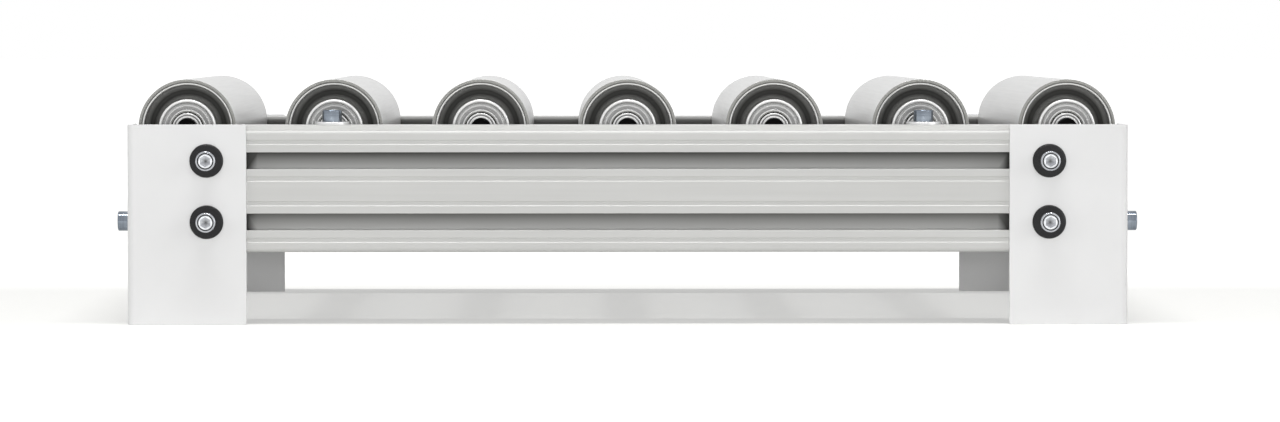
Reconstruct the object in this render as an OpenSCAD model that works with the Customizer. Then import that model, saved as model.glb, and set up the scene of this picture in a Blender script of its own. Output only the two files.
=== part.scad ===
// Flow rack roller track: free-running tube rollers between two slotted rails on four angle legs.
// X runs along the track, Y along the roller axles and Z up. The origin is on the floor, under the middle.

/* [Track] */
// Number of rollers
roller_count = 7; // [5:1:8]
// Distance between neighbouring roller axles
roller_pitch = 75; // [62:1:120]
// Distance from the outermost axle to each rail end
end_margin = 25; // [22:1:60]
// Clear width between the two rails
track_gap = 260; // [160:5:600]

/* [Rail] */
// Width of a rail
rail_w = 30; // [30:0.5:40]
// Distance between the two slots in a rail's side
slot_pitch = 30.9; // [29:0.1:40]
// Distance from a slot's centre line to the rail's top or bottom face
slot_edge = 15.3; // [15:0.1:20]
// Radius of the rail's long corners
rail_corner_r = 2; // [0.5:0.1:2.5]
// Width of a slot's mouth
slot_w = 8.4; // [8:0.1:9]
// Thickness of the lips on both sides of a slot's mouth
slot_lip = 2; // [1.5:0.1:2.5]
// Width of the cavity behind the lips
slot_cavity_w = 16.5; // [15.5:0.1:17]
// Depth of the cavity's upright side
slot_side = 2.5; // [2:0.1:3]
// Depth of a slot from the rail's face to its floor
slot_depth = 9; // [8.6:0.1:9.4]
// Wall between the middle chamber and the rail's faces
chamber_wall = 2.5; // [1.5:0.1:4]
// Web between the middle chamber and the slot cavities
chamber_web = 3; // [2:0.1:4]
// Distance from a slot's centre line to the near edge of the shallow face recess
recess_from = 8; // [6.5:0.1:8.4]
// Width of the shallow face recess
recess_w = 2.5; // [1:0.1:3]
// Depth of the shallow face recess
recess_depth = 0.3; // [0.1:0.05:0.5]

/* [Axle carriers] */
// Sheet thickness of the carrier angle
carrier_t = 2.5; // [1.5:0.1:3]
// Height of the carrier's upright flange
carrier_drop = 24; // [16:1:32]
// Distance that the carrier's edge stands back from the rail's outer face
carrier_setback = 2; // [0:0.1:3]
// Inside bend radius of the carrier angle
carrier_bend_r = 1; // [0.5:0.1:2]
// Depth of the axle's centre line below the carrier's top face
axle_below = 2; // [0:0.1:4]

/* [Cross members] */
// Side of the square cross member
cross_w = 30; // [28:0.5:34]
// Distance from a cross member's middle to the rail's end
cross_inset = 25; // [20:1:60]
// Diameter of the key hole through the rail's core
key_hole_d = 7; // [5:0.1:8]

/* [Legs] */
// Height of a leg
leg_h = 101; // [90:1:300]
// Width of a leg's broad flange
leg_w = 60; // [52:1:100]
// Sheet thickness of a leg
leg_t = 2.5; // [1.5:0.1:4]
// Inside bend radius of a leg
leg_bend_r = 1; // [0.5:0.1:2]
// Height of a leg's top edge above the carrier
leg_proud = 0.5; // [0:0.1:3]
// Distance from a leg's outer edge to its screws
leg_screw_inset = 40; // [38:0.5:45]

/* [Rollers] */
// Outside diameter of a roller tube
roller_d = 50; // [46:0.5:56]
// Wall of a roller tube
tube_wall = 1.5; // [1:0.1:2.5]
// Chamfer on the tube's end edges
tube_chamfer = 0.35; // [0.1:0.05:0.6]
// Gap between a roller's end and the carrier's flange
roller_side_gap = 2.5; // [1:0.1:6]
// Wall of an end cup's rim
cup_rim_t = 1.3; // [1:0.1:2]
// Wall of an end cup's hub
cup_hub_t = 1.7; // [1:0.1:3]
// Thickness of an end cup's floor
cup_floor_t = 1.3; // [1:0.1:2.5]
// Round of an end cup's outer corner
cup_fillet = 2.5; // [1:0.1:3]
// Round of the dish's bottom, as a share of the dish's width
dish_round = 0.48; // [0.3:0.02:0.48]
// Distance that the cup's rim stands back from the tube's end
cup_rim_inset = 0.5; // [0.2:0.1:2]
// Width of the cup's inner shoulder that stops the bearing
cup_shoulder = 1.2; // [0.6:0.1:2]

/* [Bearings] */
// Bore of a bearing
bearing_bore = 10; // [9:0.5:11]
// Outside diameter of a bearing
bearing_od = 26; // [25:0.5:30]
// Width of a bearing
bearing_w = 8; // [7.6:0.1:10]
// Distance that the bearing stands back from the tube's end
bearing_inset = 0.6; // [0.3:0.1:2]
// Diameter of a ball
ball_d = 4.8; // [4.4:0.1:5]
// Number of balls in a bearing
ball_count = 7; // [5:1:8]
// Depth of the ball groove in each ring
groove_depth = 1.1; // [0.6:0.1:1.3]
// Chamfer on the ring edges
ring_chamfer = 0.4; // [0.1:0.05:0.6]
// Width of the outer ring's face outside the shield
ring_face = 1.2; // [0.8:0.1:1.5]
// Gap between the inner ring and the shield
shield_gap = 1.1; // [0.3:0.1:1.5]
// Thickness of a shield
shield_t = 0.35; // [0.2:0.05:0.5]
// Distance that a shield stands back from the ring's face
shield_inset = 0.3; // [0.1:0.05:0.5]
// Radial thickness of the ball cage
cage_t = 1.4; // [1:0.1:2]
// Width of the cage's side bands beyond the balls
cage_band = 0.5; // [0.3:0.05:0.6]

/* [Axles] */
// Width across the flats at an axle's ends
axle_flat = 9; // [7:0.1:9.6]
// Depth of the retaining ring's groove
clip_groove = 0.3; // [0.2:0.05:0.6]
// Thickness of a retaining ring
clip_t = 1; // [0.8:0.1:1.5]
// Radial width of a retaining ring
clip_w = 2; // [1:0.1:2.5]
// Opening of a retaining ring
clip_mouth = 5; // [3:0.5:8]
// Chamfer on an axle's end edges
axle_chamfer = 0.4; // [0.2:0.1:1]

/* [Fasteners] */
// Thread diameter of the screws
screw_d = 6; // [5:0.5:6]
// Diameter of a screw's head
head_d = 10; // [9:0.1:11]
// Height of a screw's head
head_h = 6; // [4:0.1:8]
// Height of a low screw head inside a slot
low_head_h = 4; // [3:0.1:5]
// Width across the flats of the key socket
socket_w = 5; // [4:0.1:6]
// Depth of the key socket
socket_depth = 2.6; // [1.5:0.1:3]
// Depth of the drill point below the key socket
socket_point = 1; // [0.2:0.1:1]
// Chamfer on a screw's head
head_chamfer = 0.6; // [0.2:0.1:1]
// Length of thread that an end screw or cross screw holds
thread_grip = 13.5; // [8:0.5:18]
// Diameter of the bright washers on the carriers
washer_d = 18; // [14:0.5:22]
// Thickness of the bright washers
washer_t = 1.6; // [1:0.1:2.5]
// Diameter of the dark washers on the legs
dark_washer_d = 17; // [14:0.5:22]
// Thickness of the dark washers at the middle
dark_washer_t = 1.8; // [1.2:0.1:3]
// Length of a slot nut
nut_len = 16; // [12:0.5:22]
// Height of a slot nut's wide part
nut_h = 4; // [3:0.1:5]

/* [Clearances] */
// Radial clearance of a press seat
seat_clear = 0.01; // [0.01:0.01:0.03]
// Radial clearance between a thread and its hole
thread_clear = 0.02; // [0.01:0.01:0.05]
// Radial clearance of a screw in a plain hole
hole_clear = 0.3; // [0.2:0.05:0.6]
// Clearance between a ball and its grooves
ball_clear = 0.03; // [0.01:0.01:0.06]
// Clearance between a ball and its cage pocket
pocket_clear = 0.08; // [0.05:0.01:0.15]
// Clearance of a slot nut in its slot
nut_clear = 0.3; // [0.1:0.05:0.5]
// Clearance of an axle in its notch
axle_clear = 0.05; // [0.02:0.01:0.15]
// End play of an axle between the rails
axle_play = 0.2; // [0.1:0.05:0.5]
// Distance between a slot screw's tip and the slot's floor
tip_gap = 1.2; // [0.5:0.1:2]

/* [Hidden] */
$fn = 96;
// Overrun that carries a cut past the face it opens
over = 1;

// Places along the track
rail_len = (roller_count - 1) * roller_pitch + 2 * end_margin;
cross_x = rail_len / 2 - cross_inset;
leg_x = rail_len / 2 + leg_t;
leg_screw_x = leg_x - leg_screw_inset;
// The carriers are held at the second roller from each end
carrier_screw_x = roller_x(roller_count - 1);

// Heights
carrier_top = leg_h - leg_proud;
rail_top = carrier_top - carrier_t;
rail_h = slot_pitch + 2 * slot_edge;
rail_mid_z = rail_top - rail_h / 2;
slot_low_z = rail_mid_z - slot_pitch / 2;
slot_high_z = rail_mid_z + slot_pitch / 2;
axle_z = carrier_top - axle_below;

// Places across the track
rail_in = track_gap / 2;
rail_y = rail_in + rail_w / 2;
rail_out = rail_in + rail_w;
flange_in = rail_in - carrier_t;
roller_len = 2 * (flange_in - roller_side_gap);

// Slot floor, from its depth and its sloping sides
slot_floor_w = slot_cavity_w - 2 * (slot_depth - slot_lip - slot_side);
chamber_w = rail_w - 2 * chamber_wall;
chamber_h = slot_pitch - slot_cavity_w - 2 * chamber_web;

// Bearing parts
axle_r = bearing_bore / 2 - seat_clear;
ball_pitch_r = (bearing_bore + bearing_od) / 4;
groove_r = ball_d / 2 + ball_clear;
inner_land_r = ball_pitch_r - ball_d / 2 + groove_depth;
outer_land_r = ball_pitch_r + ball_d / 2 - groove_depth;
shield_in_r = inner_land_r + shield_gap;
shield_seat_r = bearing_od / 2 - ring_face;
shield_z = bearing_w / 2 - shield_inset - shield_t;
pocket_r = ball_d / 2 + pocket_clear;
cage_half_w = pocket_r + cage_band;

// Depths behind the tube's end
bearing_back = bearing_inset + bearing_w;
cup_back = bearing_back + cup_floor_t;
tube_in_r = roller_d / 2 - tube_wall;
cup_out_r = tube_in_r - seat_clear;
hub_in_r = bearing_od / 2 + seat_clear;
hub_out_r = hub_in_r + cup_hub_t;
clip_r = axle_r - clip_groove;

// Fasteners
bore_d = screw_d + 2 * thread_clear;
hole_d = screw_d + 2 * hole_clear;
leg_screw_len = dark_washer_t + leg_t + slot_depth - tip_gap;
top_screw_len = washer_t + carrier_t + slot_depth - tip_gap;
end_screw_len = leg_t + thread_grip;
cross_screw_len = slot_lip + thread_grip;

sides = [-1, 1];

function roller_x(i) = (i - (roller_count + 1) / 2) * roller_pitch;

// ---- outlines and small shapes ----

// Rectangle about the origin with round corners
module round_rect(w, h, r) {
    square([w - 2 * r, h], center = true);
    square([w, h - 2 * r], center = true);
    for (x = sides, y = sides)
        translate([x * (w / 2 - r), y * (h / 2 - r)]) circle(r);
}

// One slot with its two shallow face recesses, cut downwards from the face at y = 0
module slot_cut() {
    mouth = slot_w / 2;
    cavity = slot_cavity_w / 2;
    floor_half = slot_floor_w / 2;
    right = [
        [mouth, over], [mouth, -slot_lip], [cavity, -slot_lip],
        [cavity, -slot_lip - slot_side], [floor_half, -slot_depth]
    ];
    left = [for (k = [len(right) - 1:-1:0]) [-right[k][0], right[k][1]]];
    polygon(concat(right, left));
    for (s = sides)
        polygon([
            [s * recess_from, over],
            [s * recess_from, 0],
            [s * (recess_from + recess_depth), -recess_depth],
            [s * (recess_from + recess_w - recess_depth), -recess_depth],
            [s * (recess_from + recess_w), 0],
            [s * (recess_from + recess_w), over]
        ]);
}

// Cross-section of a rail: two slots in each side, one on top and one below
module rail_outline() {
    difference() {
        round_rect(rail_w, rail_h, rail_corner_r);
        for (v = sides) {
            for (s = sides)
                translate([s * rail_w / 2, v * slot_pitch / 2]) rotate(-90 * s) slot_cut();
            translate([0, v * rail_h / 2]) rotate(v > 0 ? 0 : 180) slot_cut();
            translate([0, v * slot_pitch / 2]) circle(d = bore_d);
        }
        square([chamber_w, chamber_h], center = true);
    }
}

// Cross-section of a cross member: one slot in each side
module cross_outline() {
    difference() {
        round_rect(cross_w, cross_w, rail_corner_r);
        for (a = [0:90:270])
            rotate(a) translate([0, cross_w / 2]) slot_cut();
        circle(d = bore_d);
    }
}

// Bent sheet angle with its outer corner at the origin, one flange along X and one along Y
module bent_angle(flange_x, flange_y, t, r) {
    outer = r + t;
    difference() {
        union() {
            translate([outer, 0]) square([flange_x - outer, t]);
            translate([0, outer]) square([t, flange_y - outer]);
            intersection() {
                square(outer);
                translate([outer, outer]) circle(outer);
            }
        }
        translate([outer, outer]) circle(r);
    }
}

// Socket head screw: the head stands on z = 0 and the thread hangs below it
module socket_screw(length, head) {
    tip = screw_d / 2 - thread_clear * 10;
    difference() {
        rotate_extrude()
            polygon([
                [0, head], [head_d / 2 - head_chamfer, head], [head_d / 2, head - head_chamfer],
                [head_d / 2, 0], [screw_d / 2, 0], [screw_d / 2, head_chamfer - length],
                [tip - head_chamfer / 2, -length], [0, -length]
            ]);
        translate([0, 0, head - socket_depth])
            cylinder(d = socket_w / cos(30), h = socket_depth + over, $fn = 6);
        translate([0, 0, head - socket_depth - socket_point])
            cylinder(r1 = 0, r2 = socket_w / 2 - hole_clear, h = socket_point + hole_clear);
    }
}

// Flat washer on z = 0
module flat_washer(d, t) {
    difference() {
        cylinder(d = d, h = t);
        translate([0, 0, -over]) cylinder(d = hole_d, h = t + 2 * over);
    }
}

// Washer with a coned upper face, on z = 0
module coned_washer() {
    land_r = head_d / 2 + hole_clear;
    rim_r = dark_washer_d / 2;
    rotate_extrude()
        polygon([
            [hole_d / 2, 0], [rim_r, 0], [rim_r, dark_washer_t / 3],
            [rim_r - dark_washer_t / 3, dark_washer_t * 2 / 3],
            [land_r, dark_washer_t], [hole_d / 2, dark_washer_t]
        ]);
}

// Slot nut: its collar fills the mouth of a slot whose face is z = 0, and it is long along X
module slot_nut() {
    collar = slot_w / 2 - nut_clear;
    half = slot_cavity_w / 2 - nut_clear;
    upright = slot_side - nut_clear;
    slope = nut_h - upright;
    difference() {
        rotate([90, 0, 90])
            linear_extrude(nut_len, center = true)
                polygon([
                    [-collar, -2 * nut_clear], [collar, -2 * nut_clear], [collar, -slot_lip],
                    [half, -slot_lip], [half, -slot_lip - upright],
                    [half - slope, -slot_lip - nut_h], [slope - half, -slot_lip - nut_h],
                    [-half, -slot_lip - upright], [-half, -slot_lip], [-collar, -slot_lip]
                ]);
        translate([0, 0, -slot_depth]) cylinder(d = bore_d, h = slot_depth);
    }
}

// Mirrors a shape made at the near left corner to the corner (sx, sy)
module at_corner(sx, sy) {
    mirror([sx > 0 ? 1 : 0, 0, 0]) mirror([0, sy > 0 ? 1 : 0, 0]) children();
}

// Puts children at both ends of roller i: z = 0 is the plane of the tube's end and +z points outwards
module at_roller_ends(i) {
    for (s = sides)
        translate([roller_x(i), 0, axle_z]) rotate([-90 * s, 0, 0]) translate([0, 0, roller_len / 2])
            children();
}

// Puts children at the middle plane of both bearings of roller i
module at_bearings(i) {
    at_roller_ends(i) translate([0, 0, -bearing_inset - bearing_w / 2]) children();
}

// Puts children on the outer face of side sy's legs at each leg screw, +z pointing outwards
module at_leg_screws() {
    for (sx = sides, sy = sides, z = [slot_low_z, slot_high_z])
        translate([sx * leg_screw_x, sy * rail_out, z]) rotate([-90 * sy, 0, 0]) children();
}

// Puts children on the rails' top faces at each carrier screw
module at_carrier_screws() {
    for (sx = sides, sy = sides)
        translate([sx * carrier_screw_x, sy * rail_y, rail_top]) children();
}

// ---- frame ----

module rail(sy) {
    color("gainsboro") difference() {
        translate([0, sy * rail_y, rail_mid_z]) rotate([90, 0, 90])
            linear_extrude(rail_len, center = true) rail_outline();
        for (sx = sides)
            translate([sx * cross_x, sy * rail_y, slot_low_z]) rotate([90, 0, 0])
                cylinder(d = key_hole_d, h = rail_w + 2 * over, center = true);
    }
}

// Outline of an axle notch: open at the top, with flat sides and a round bottom
module notch_outline() {
    half = axle_flat / 2 + axle_clear;
    intersection() {
        translate([-half, -roller_d]) square([2 * half, 2 * roller_d]);
        union() {
            circle(axle_r + axle_clear);
            translate([-half, 0]) square([2 * half, axle_below + over]);
        }
    }
}

module carrier(sy) {
    color("gainsboro") difference() {
        mirror([0, sy > 0 ? 1 : 0, 0])
            translate([-rail_len / 2, -flange_in, carrier_top]) rotate([90, 0, 90])
                linear_extrude(rail_len) rotate(180)
                    bent_angle(rail_w - carrier_setback + carrier_t, carrier_drop, carrier_t, carrier_bend_r);
        for (i = [1:roller_count])
            translate([roller_x(i), sy * (rail_in - carrier_t / 2), axle_z]) rotate([90, 0, 0])
                linear_extrude(carrier_t + 2 * carrier_bend_r, center = true) notch_outline();
        for (sx = sides)
            translate([sx * carrier_screw_x, sy * rail_y, rail_top - over])
                cylinder(d = hole_d, h = carrier_t + 2 * over);
    }
}

module cross_member(sx) {
    color("gainsboro")
        translate([sx * cross_x, 0, slot_low_z]) rotate([90, 0, 0])
            linear_extrude(track_gap, center = true) cross_outline();
}

module leg(sx, sy) {
    color("whitesmoke") at_corner(sx, sy) difference() {
        translate([-leg_x, -rail_out - leg_t, 0])
            linear_extrude(leg_h) bent_angle(leg_w, leg_t + rail_w, leg_t, leg_bend_r);
        for (z = [slot_low_z, slot_high_z])
            translate([-leg_screw_x, -rail_out + over, z]) rotate([90, 0, 0])
                cylinder(d = hole_d, h = leg_t + 2 * over);
        translate([-leg_x - over, -rail_y, slot_low_z]) rotate([0, 90, 0])
            cylinder(d = hole_d, h = leg_t + 2 * over);
    }
}

// ---- fasteners ----

module leg_screws() {
    color("silver") at_leg_screws()
        translate([0, 0, leg_t + dark_washer_t]) socket_screw(leg_screw_len, head_h);
}

module leg_washers() {
    color([0.12, 0.12, 0.12]) at_leg_screws() translate([0, 0, leg_t]) coned_washer();
}

module leg_slot_nuts() {
    color("darkgray") at_leg_screws() slot_nut();
}

module end_screws() {
    color("silver")
        for (sx = sides, sy = sides)
            translate([sx * leg_x, sy * rail_y, slot_low_z]) rotate([0, 90 * sx, 0])
                socket_screw(end_screw_len, head_h);
}

module carrier_screws() {
    color("silver") at_carrier_screws()
        translate([0, 0, carrier_t + washer_t]) socket_screw(top_screw_len, head_h);
}

module carrier_washers() {
    color("silver") at_carrier_screws() translate([0, 0, carrier_t]) flat_washer(washer_d, washer_t);
}

module carrier_slot_nuts() {
    color("darkgray") at_carrier_screws() slot_nut();
}

// Each cross screw's head lies behind the lips of the rail's inner slot
module cross_screws() {
    color("silver")
        for (sx = sides, sy = sides)
            translate([sx * cross_x, sy * (rail_in + slot_lip), slot_low_z]) rotate([-90 * sy, 0, 0])
                socket_screw(cross_screw_len, low_head_h);
}

// ---- axles and what stands still on them ----

// Both ends of the axle are turned down to flats that drop into the carrier's notches
module axle(i) {
    half_len = rail_in - axle_play;
    clip_at = roller_len / 2 - bearing_back;
    flat_len = carrier_t + axle_play;
    side = [
        [0, half_len], [axle_r - axle_chamfer, half_len], [axle_r, half_len - axle_chamfer],
        [axle_r, clip_at], [clip_r, clip_at], [clip_r, clip_at - clip_t], [axle_r, clip_at - clip_t]
    ];
    other = [for (k = [len(side) - 1:-1:0]) [side[k][0], -side[k][1]]];
    color([0.15, 0.15, 0.16])
        translate([roller_x(i), 0, axle_z]) rotate([90, 0, 0]) difference() {
            rotate_extrude() polygon(concat(side, other));
            for (sx = sides, s = sides)
                translate([sx * (axle_flat / 2 + axle_r), 0, s * (half_len - flat_len / 2 + over / 2)])
                    cube([2 * axle_r, 4 * axle_r, flat_len + over], center = true);
        }
}

module inner_ring() {
    half = bearing_w / 2;
    c = ring_chamfer;
    rotate_extrude() difference() {
        polygon([
            [bearing_bore / 2 + c, -half], [inner_land_r - c, -half], [inner_land_r, c - half],
            [inner_land_r, half - c], [inner_land_r - c, half], [bearing_bore / 2 + c, half],
            [bearing_bore / 2, half - c], [bearing_bore / 2, c - half]
        ]);
        translate([ball_pitch_r, 0]) circle(groove_r);
    }
}

module bearing_inner_rings() {
    color("silver")
        for (i = [1:roller_count])
            at_bearings(i) inner_ring();
}

module axle_clips() {
    color("dimgray")
        for (i = [1:roller_count])
            at_roller_ends(i) translate([0, 0, -bearing_back - clip_t]) difference() {
                cylinder(r = clip_r + seat_clear + clip_w, h = clip_t);
                translate([0, 0, -over]) cylinder(r = clip_r + seat_clear, h = clip_t + 2 * over);
                translate([-clip_mouth / 2, 0, -over])
                    cube([clip_mouth, 2 * axle_r, clip_t + 2 * over]);
            }
}

// ---- what turns with each roller ----

module roller_tube(i) {
    c = tube_chamfer;
    half = roller_len / 2;
    out_r = roller_d / 2;
    color("lightgray")
        translate([roller_x(i), 0, axle_z]) rotate([90, 0, 0]) rotate_extrude()
            polygon([
                [tube_in_r + c, -half], [out_r - c, -half], [out_r, c - half], [out_r, half - c],
                [out_r - c, half], [tube_in_r + c, half], [tube_in_r, half - c], [tube_in_r, c - half]
            ]);
}

// Dished cup: a rim pressed into the tube, a deep round-bottomed dish and a hub round the bearing
module end_cup() {
    dish_in = hub_out_r;
    dish_out = cup_out_r - cup_rim_t;
    rim_r = cup_rim_t / 2;
    hub_r = cup_hub_t / 2;
    dish_r = dish_round * (dish_out - dish_in);
    rotate_extrude() difference() {
        union() {
            translate([hub_in_r - cup_shoulder, -cup_back])
                square([cup_out_r - cup_fillet - hub_in_r + cup_shoulder, cup_floor_t]);
            translate([hub_in_r, -cup_back]) square([cup_hub_t, cup_back - hub_r - bearing_inset / 2]);
            translate([hub_in_r + hub_r, -hub_r - bearing_inset / 2]) circle(hub_r);
            translate([cup_out_r - cup_rim_t, cup_fillet - cup_back])
                square([cup_rim_t, cup_back - cup_fillet - rim_r - cup_rim_inset]);
            translate([cup_out_r - rim_r, -rim_r - cup_rim_inset]) circle(rim_r);
            translate([hub_out_r, -cup_back])
                square([cup_out_r - cup_fillet - hub_out_r, cup_floor_t + dish_r]);
            translate([cup_out_r - cup_fillet, cup_fillet - cup_back]) circle(cup_fillet);
            translate([cup_out_r - 2 * cup_fillet, cup_fillet - cup_back])
                square([2 * cup_fillet - cup_rim_t / 2, cup_floor_t + dish_r - cup_fillet]);
        }
        // The dish, with a round bottom between the hub and the rim
        translate([dish_in, dish_r - bearing_back])
            square([dish_out - dish_in, bearing_back - dish_r + over]);
        translate([dish_in + dish_r, -bearing_back])
            square([dish_out - dish_in - 2 * dish_r, dish_r + over]);
        translate([dish_in + dish_r, dish_r - bearing_back]) circle(dish_r);
        translate([dish_out - dish_r, dish_r - bearing_back]) circle(dish_r);
    }
}

module end_cups(i) {
    color("gray") at_roller_ends(i) end_cup();
}

module outer_ring() {
    half = bearing_w / 2;
    out_r = bearing_od / 2;
    c = ring_chamfer;
    shoulder = shield_z - seat_clear;
    rotate_extrude() difference() {
        polygon([
            [shield_seat_r, -half], [out_r - c, -half], [out_r, c - half], [out_r, half - c],
            [out_r - c, half], [shield_seat_r, half], [shield_seat_r, shoulder],
            [outer_land_r, shoulder], [outer_land_r, -shoulder], [shield_seat_r, -shoulder]
        ]);
        translate([ball_pitch_r, 0]) circle(groove_r);
    }
}

// Pressed shield: a flat ring that snaps into the step of the outer ring
module shield() {
    translate([0, 0, shield_z]) difference() {
        cylinder(r = shield_seat_r - seat_clear, h = shield_t);
        translate([0, 0, -over]) cylinder(r = shield_in_r, h = shield_t + 2 * over);
    }
}

module outer_rings(i) {
    color("silver") at_bearings(i) {
        outer_ring();
        for (m = [0, 1]) mirror([0, 0, m]) shield();
    }
}

// Cage band with a radial pocket for each ball
module ball_cage() {
    difference() {
        rotate_extrude()
            translate([ball_pitch_r - cage_t / 2, -cage_half_w]) square([cage_t, 2 * cage_half_w]);
        for (k = [0:ball_count - 1])
            rotate([0, 90, k * 360 / ball_count])
                cylinder(r = pocket_r, h = ball_pitch_r + cage_t);
    }
}

module ball_cages(i) {
    color("darkgoldenrod") at_bearings(i) {
        ball_cage();
        for (k = [0:ball_count - 1])
            rotate(k * 360 / ball_count) translate([ball_pitch_r, 0, 0]) sphere(d = ball_d);
    }
}

// ---- one node at a time, or all together ----

rail(-1);  // rail_near
rail(1);  // rail_far
carrier(-1);  // carrier_near
carrier(1);  // carrier_far
cross_member(-1);  // cross_member_left
cross_member(1);  // cross_member_right
leg(-1, -1);  // leg_near_left
leg(1, -1);  // leg_near_right
leg(-1, 1);  // leg_far_left
leg(1, 1);  // leg_far_right
leg_screws();
leg_washers();
leg_slot_nuts();
end_screws();
carrier_screws();
carrier_washers();
carrier_slot_nuts();
cross_screws();
bearing_inner_rings();
axle_clips();
for (i = [1:roller_count]) {
    axle(i);
    roller_tube(i);
    end_cups(i);
    outer_rings(i);
    ball_cages(i);
}
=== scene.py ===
"""Finishes the flow rack roller track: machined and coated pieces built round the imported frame."""

import logging
import math
from collections.abc import Callable, Iterable
from dataclasses import dataclass, field
from enum import Enum

import bmesh
import bpy
from mathutils import Matrix, Vector


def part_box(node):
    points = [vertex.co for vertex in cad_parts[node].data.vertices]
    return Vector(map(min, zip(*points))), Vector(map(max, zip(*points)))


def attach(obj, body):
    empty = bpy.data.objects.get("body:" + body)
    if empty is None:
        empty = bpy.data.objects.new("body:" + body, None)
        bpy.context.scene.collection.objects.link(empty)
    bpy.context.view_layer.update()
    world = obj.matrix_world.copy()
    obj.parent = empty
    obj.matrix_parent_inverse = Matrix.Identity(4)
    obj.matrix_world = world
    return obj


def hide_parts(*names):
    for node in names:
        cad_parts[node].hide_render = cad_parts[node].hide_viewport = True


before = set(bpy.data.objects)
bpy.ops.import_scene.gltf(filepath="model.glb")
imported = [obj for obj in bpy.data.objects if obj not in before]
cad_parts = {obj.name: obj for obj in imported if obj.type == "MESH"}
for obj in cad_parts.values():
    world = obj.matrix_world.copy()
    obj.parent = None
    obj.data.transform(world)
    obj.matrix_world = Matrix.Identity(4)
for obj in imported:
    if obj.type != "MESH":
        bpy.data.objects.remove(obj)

log = logging.getLogger("roller_track")

MM = 0.001
SIDES = (-1, 1)
SAME_PLACE = 1e-6
SMOOTH_ANGLE = math.radians(32)
BEVEL_ANGLE = math.radians(50)
FLAT_FACE_WEIGHT = 100
# Share of an edge's width that rounds both its corners, with a narrow land left
FULL_ROUND = 0.49
NOISE_LOW, NOISE_HIGH = 0.3, 0.7
SPECK_LOW, SPECK_HIGH = 0.62, 0.78
# Lines and bands run far along a drawn piece, so its length counts for little in them
LINE_STRETCH = (1, 1, 0.012)
BAND_STRETCH = (1, 1, 0.03)
# Fineness of bands and specks against that of the marks beside them
DRAWN_BANDS, TURNED_BANDS, SPECKS = 0.18, 0.2, 2.7
BENCH_PLACE = "bench_place"
# Name of the corner attribute that says where shade is painted into a finish's colour
SHADE = "shade"
# The painted shade is a little warmer than the colour that it darkens
SHADE_WARMTH = 0.96

Piece = bpy.types.Object
Socket = bpy.types.NodeSocket
Point = tuple[float, float]


class Element(Enum):
    """What a selection in edit mode is made of."""

    CORNER = "VERT"
    FACE = "FACE"


class Plane(Enum):
    """The plane that an outline is drawn in."""

    FLAT = "for a profile that is drawn out along Z"
    UPRIGHT = "for a profile that is spun about Z"


# ---- The bench: how pieces are made ----


def clear_selection() -> None:
    """Leaves object mode with nothing selected."""
    if bpy.context.object and bpy.context.object.mode != "OBJECT":
        bpy.ops.object.mode_set(mode="OBJECT")
    bpy.ops.object.select_all(action="DESELECT")


def work_on(piece: Piece) -> None:
    """Makes one piece the only selected and the active one."""
    clear_selection()
    piece.select_set(True)
    bpy.context.view_layer.objects.active = piece


def pick(piece: Piece, element: Element, wanted: Callable[[bmesh.types.BMVert], bool]) -> None:
    """Selects the corners or faces of a piece that pass a test, and nothing else.

    Args:
        piece: the piece, which is put in edit mode.
        element: what the test looks at.
        wanted: says whether one corner or face is selected.
    """
    if bpy.context.object is not piece or piece.mode != "EDIT":
        work_on(piece)
        bpy.ops.object.mode_set(mode="EDIT")
    bpy.ops.mesh.select_mode(type=element.value)
    bpy.ops.mesh.select_all(action="DESELECT")
    shape = bmesh.from_edit_mesh(piece.data)
    for part in shape.verts if element is Element.CORNER else shape.faces:
        if wanted(part):
            part.select = True
    shape.select_flush_mode()
    bmesh.update_edit_mesh(piece.data)


def spot(point: Point, plane: Plane) -> Vector:
    """Returns the place of an outline's point in the given plane."""
    if plane is Plane.FLAT:
        return Vector((point[0], point[1], 0))
    return Vector((point[0], 0, point[1]))


def trace(name: str, points: list[Point], plane: Plane = Plane.FLAT) -> Piece:
    """Draws a closed outline from corner to corner and fills it with one face.

    Args:
        name: the new piece's name.
        points: the outline's corners in order.
        plane: the plane that it is drawn in.

    Returns:
        The new piece, in edit mode.
    """
    clear_selection()
    bpy.ops.mesh.primitive_plane_add(size=MM)
    piece = bpy.context.active_object
    piece.name = name
    bpy.ops.object.mode_set(mode="EDIT")
    bpy.ops.mesh.select_mode(type="VERT")
    bpy.ops.mesh.select_all(action="SELECT")
    bpy.ops.mesh.merge(type="CENTER")
    bpy.ops.transform.translate(value=spot(points[0], plane))
    for start, end in zip(points, points[1:]):
        step = spot(end, plane) - spot(start, plane)
        bpy.ops.mesh.extrude_region_move(TRANSFORM_OT_translate={"value": step})
    bpy.ops.mesh.select_all(action="SELECT")
    bpy.ops.mesh.edge_face_add()
    return piece


def round_corners(piece: Piece, corners: Iterable[Point], radius: float, steps: int,
                  plane: Plane = Plane.FLAT) -> None:
    """Rounds the named corners of a drawn outline.

    Args:
        piece: the outline's piece.
        corners: where the corners are.
        radius: distance from each corner to where its rounding starts.
        steps: number of segments in each rounding.
        plane: the plane that the outline lies in.
    """
    places = [spot(corner, plane) for corner in corners]
    pick(piece, Element.CORNER, lambda v: any((v.co - place).length < SAME_PLACE for place in places))
    bpy.ops.mesh.bevel(offset=radius, segments=steps, affect="VERTICES", clamp_overlap=True)


def close_up(piece: Piece) -> None:
    """Merges doubled corners, removes loose ones, turns the faces outwards and ends edit mode."""
    bpy.ops.mesh.select_all(action="SELECT")
    bpy.ops.mesh.remove_doubles(threshold=SAME_PLACE)
    bpy.ops.mesh.delete_loose(use_verts=True, use_edges=True, use_faces=False)
    bpy.ops.mesh.select_all(action="SELECT")
    bpy.ops.mesh.normals_make_consistent(inside=False)
    bpy.ops.object.mode_set(mode="OBJECT")


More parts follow.
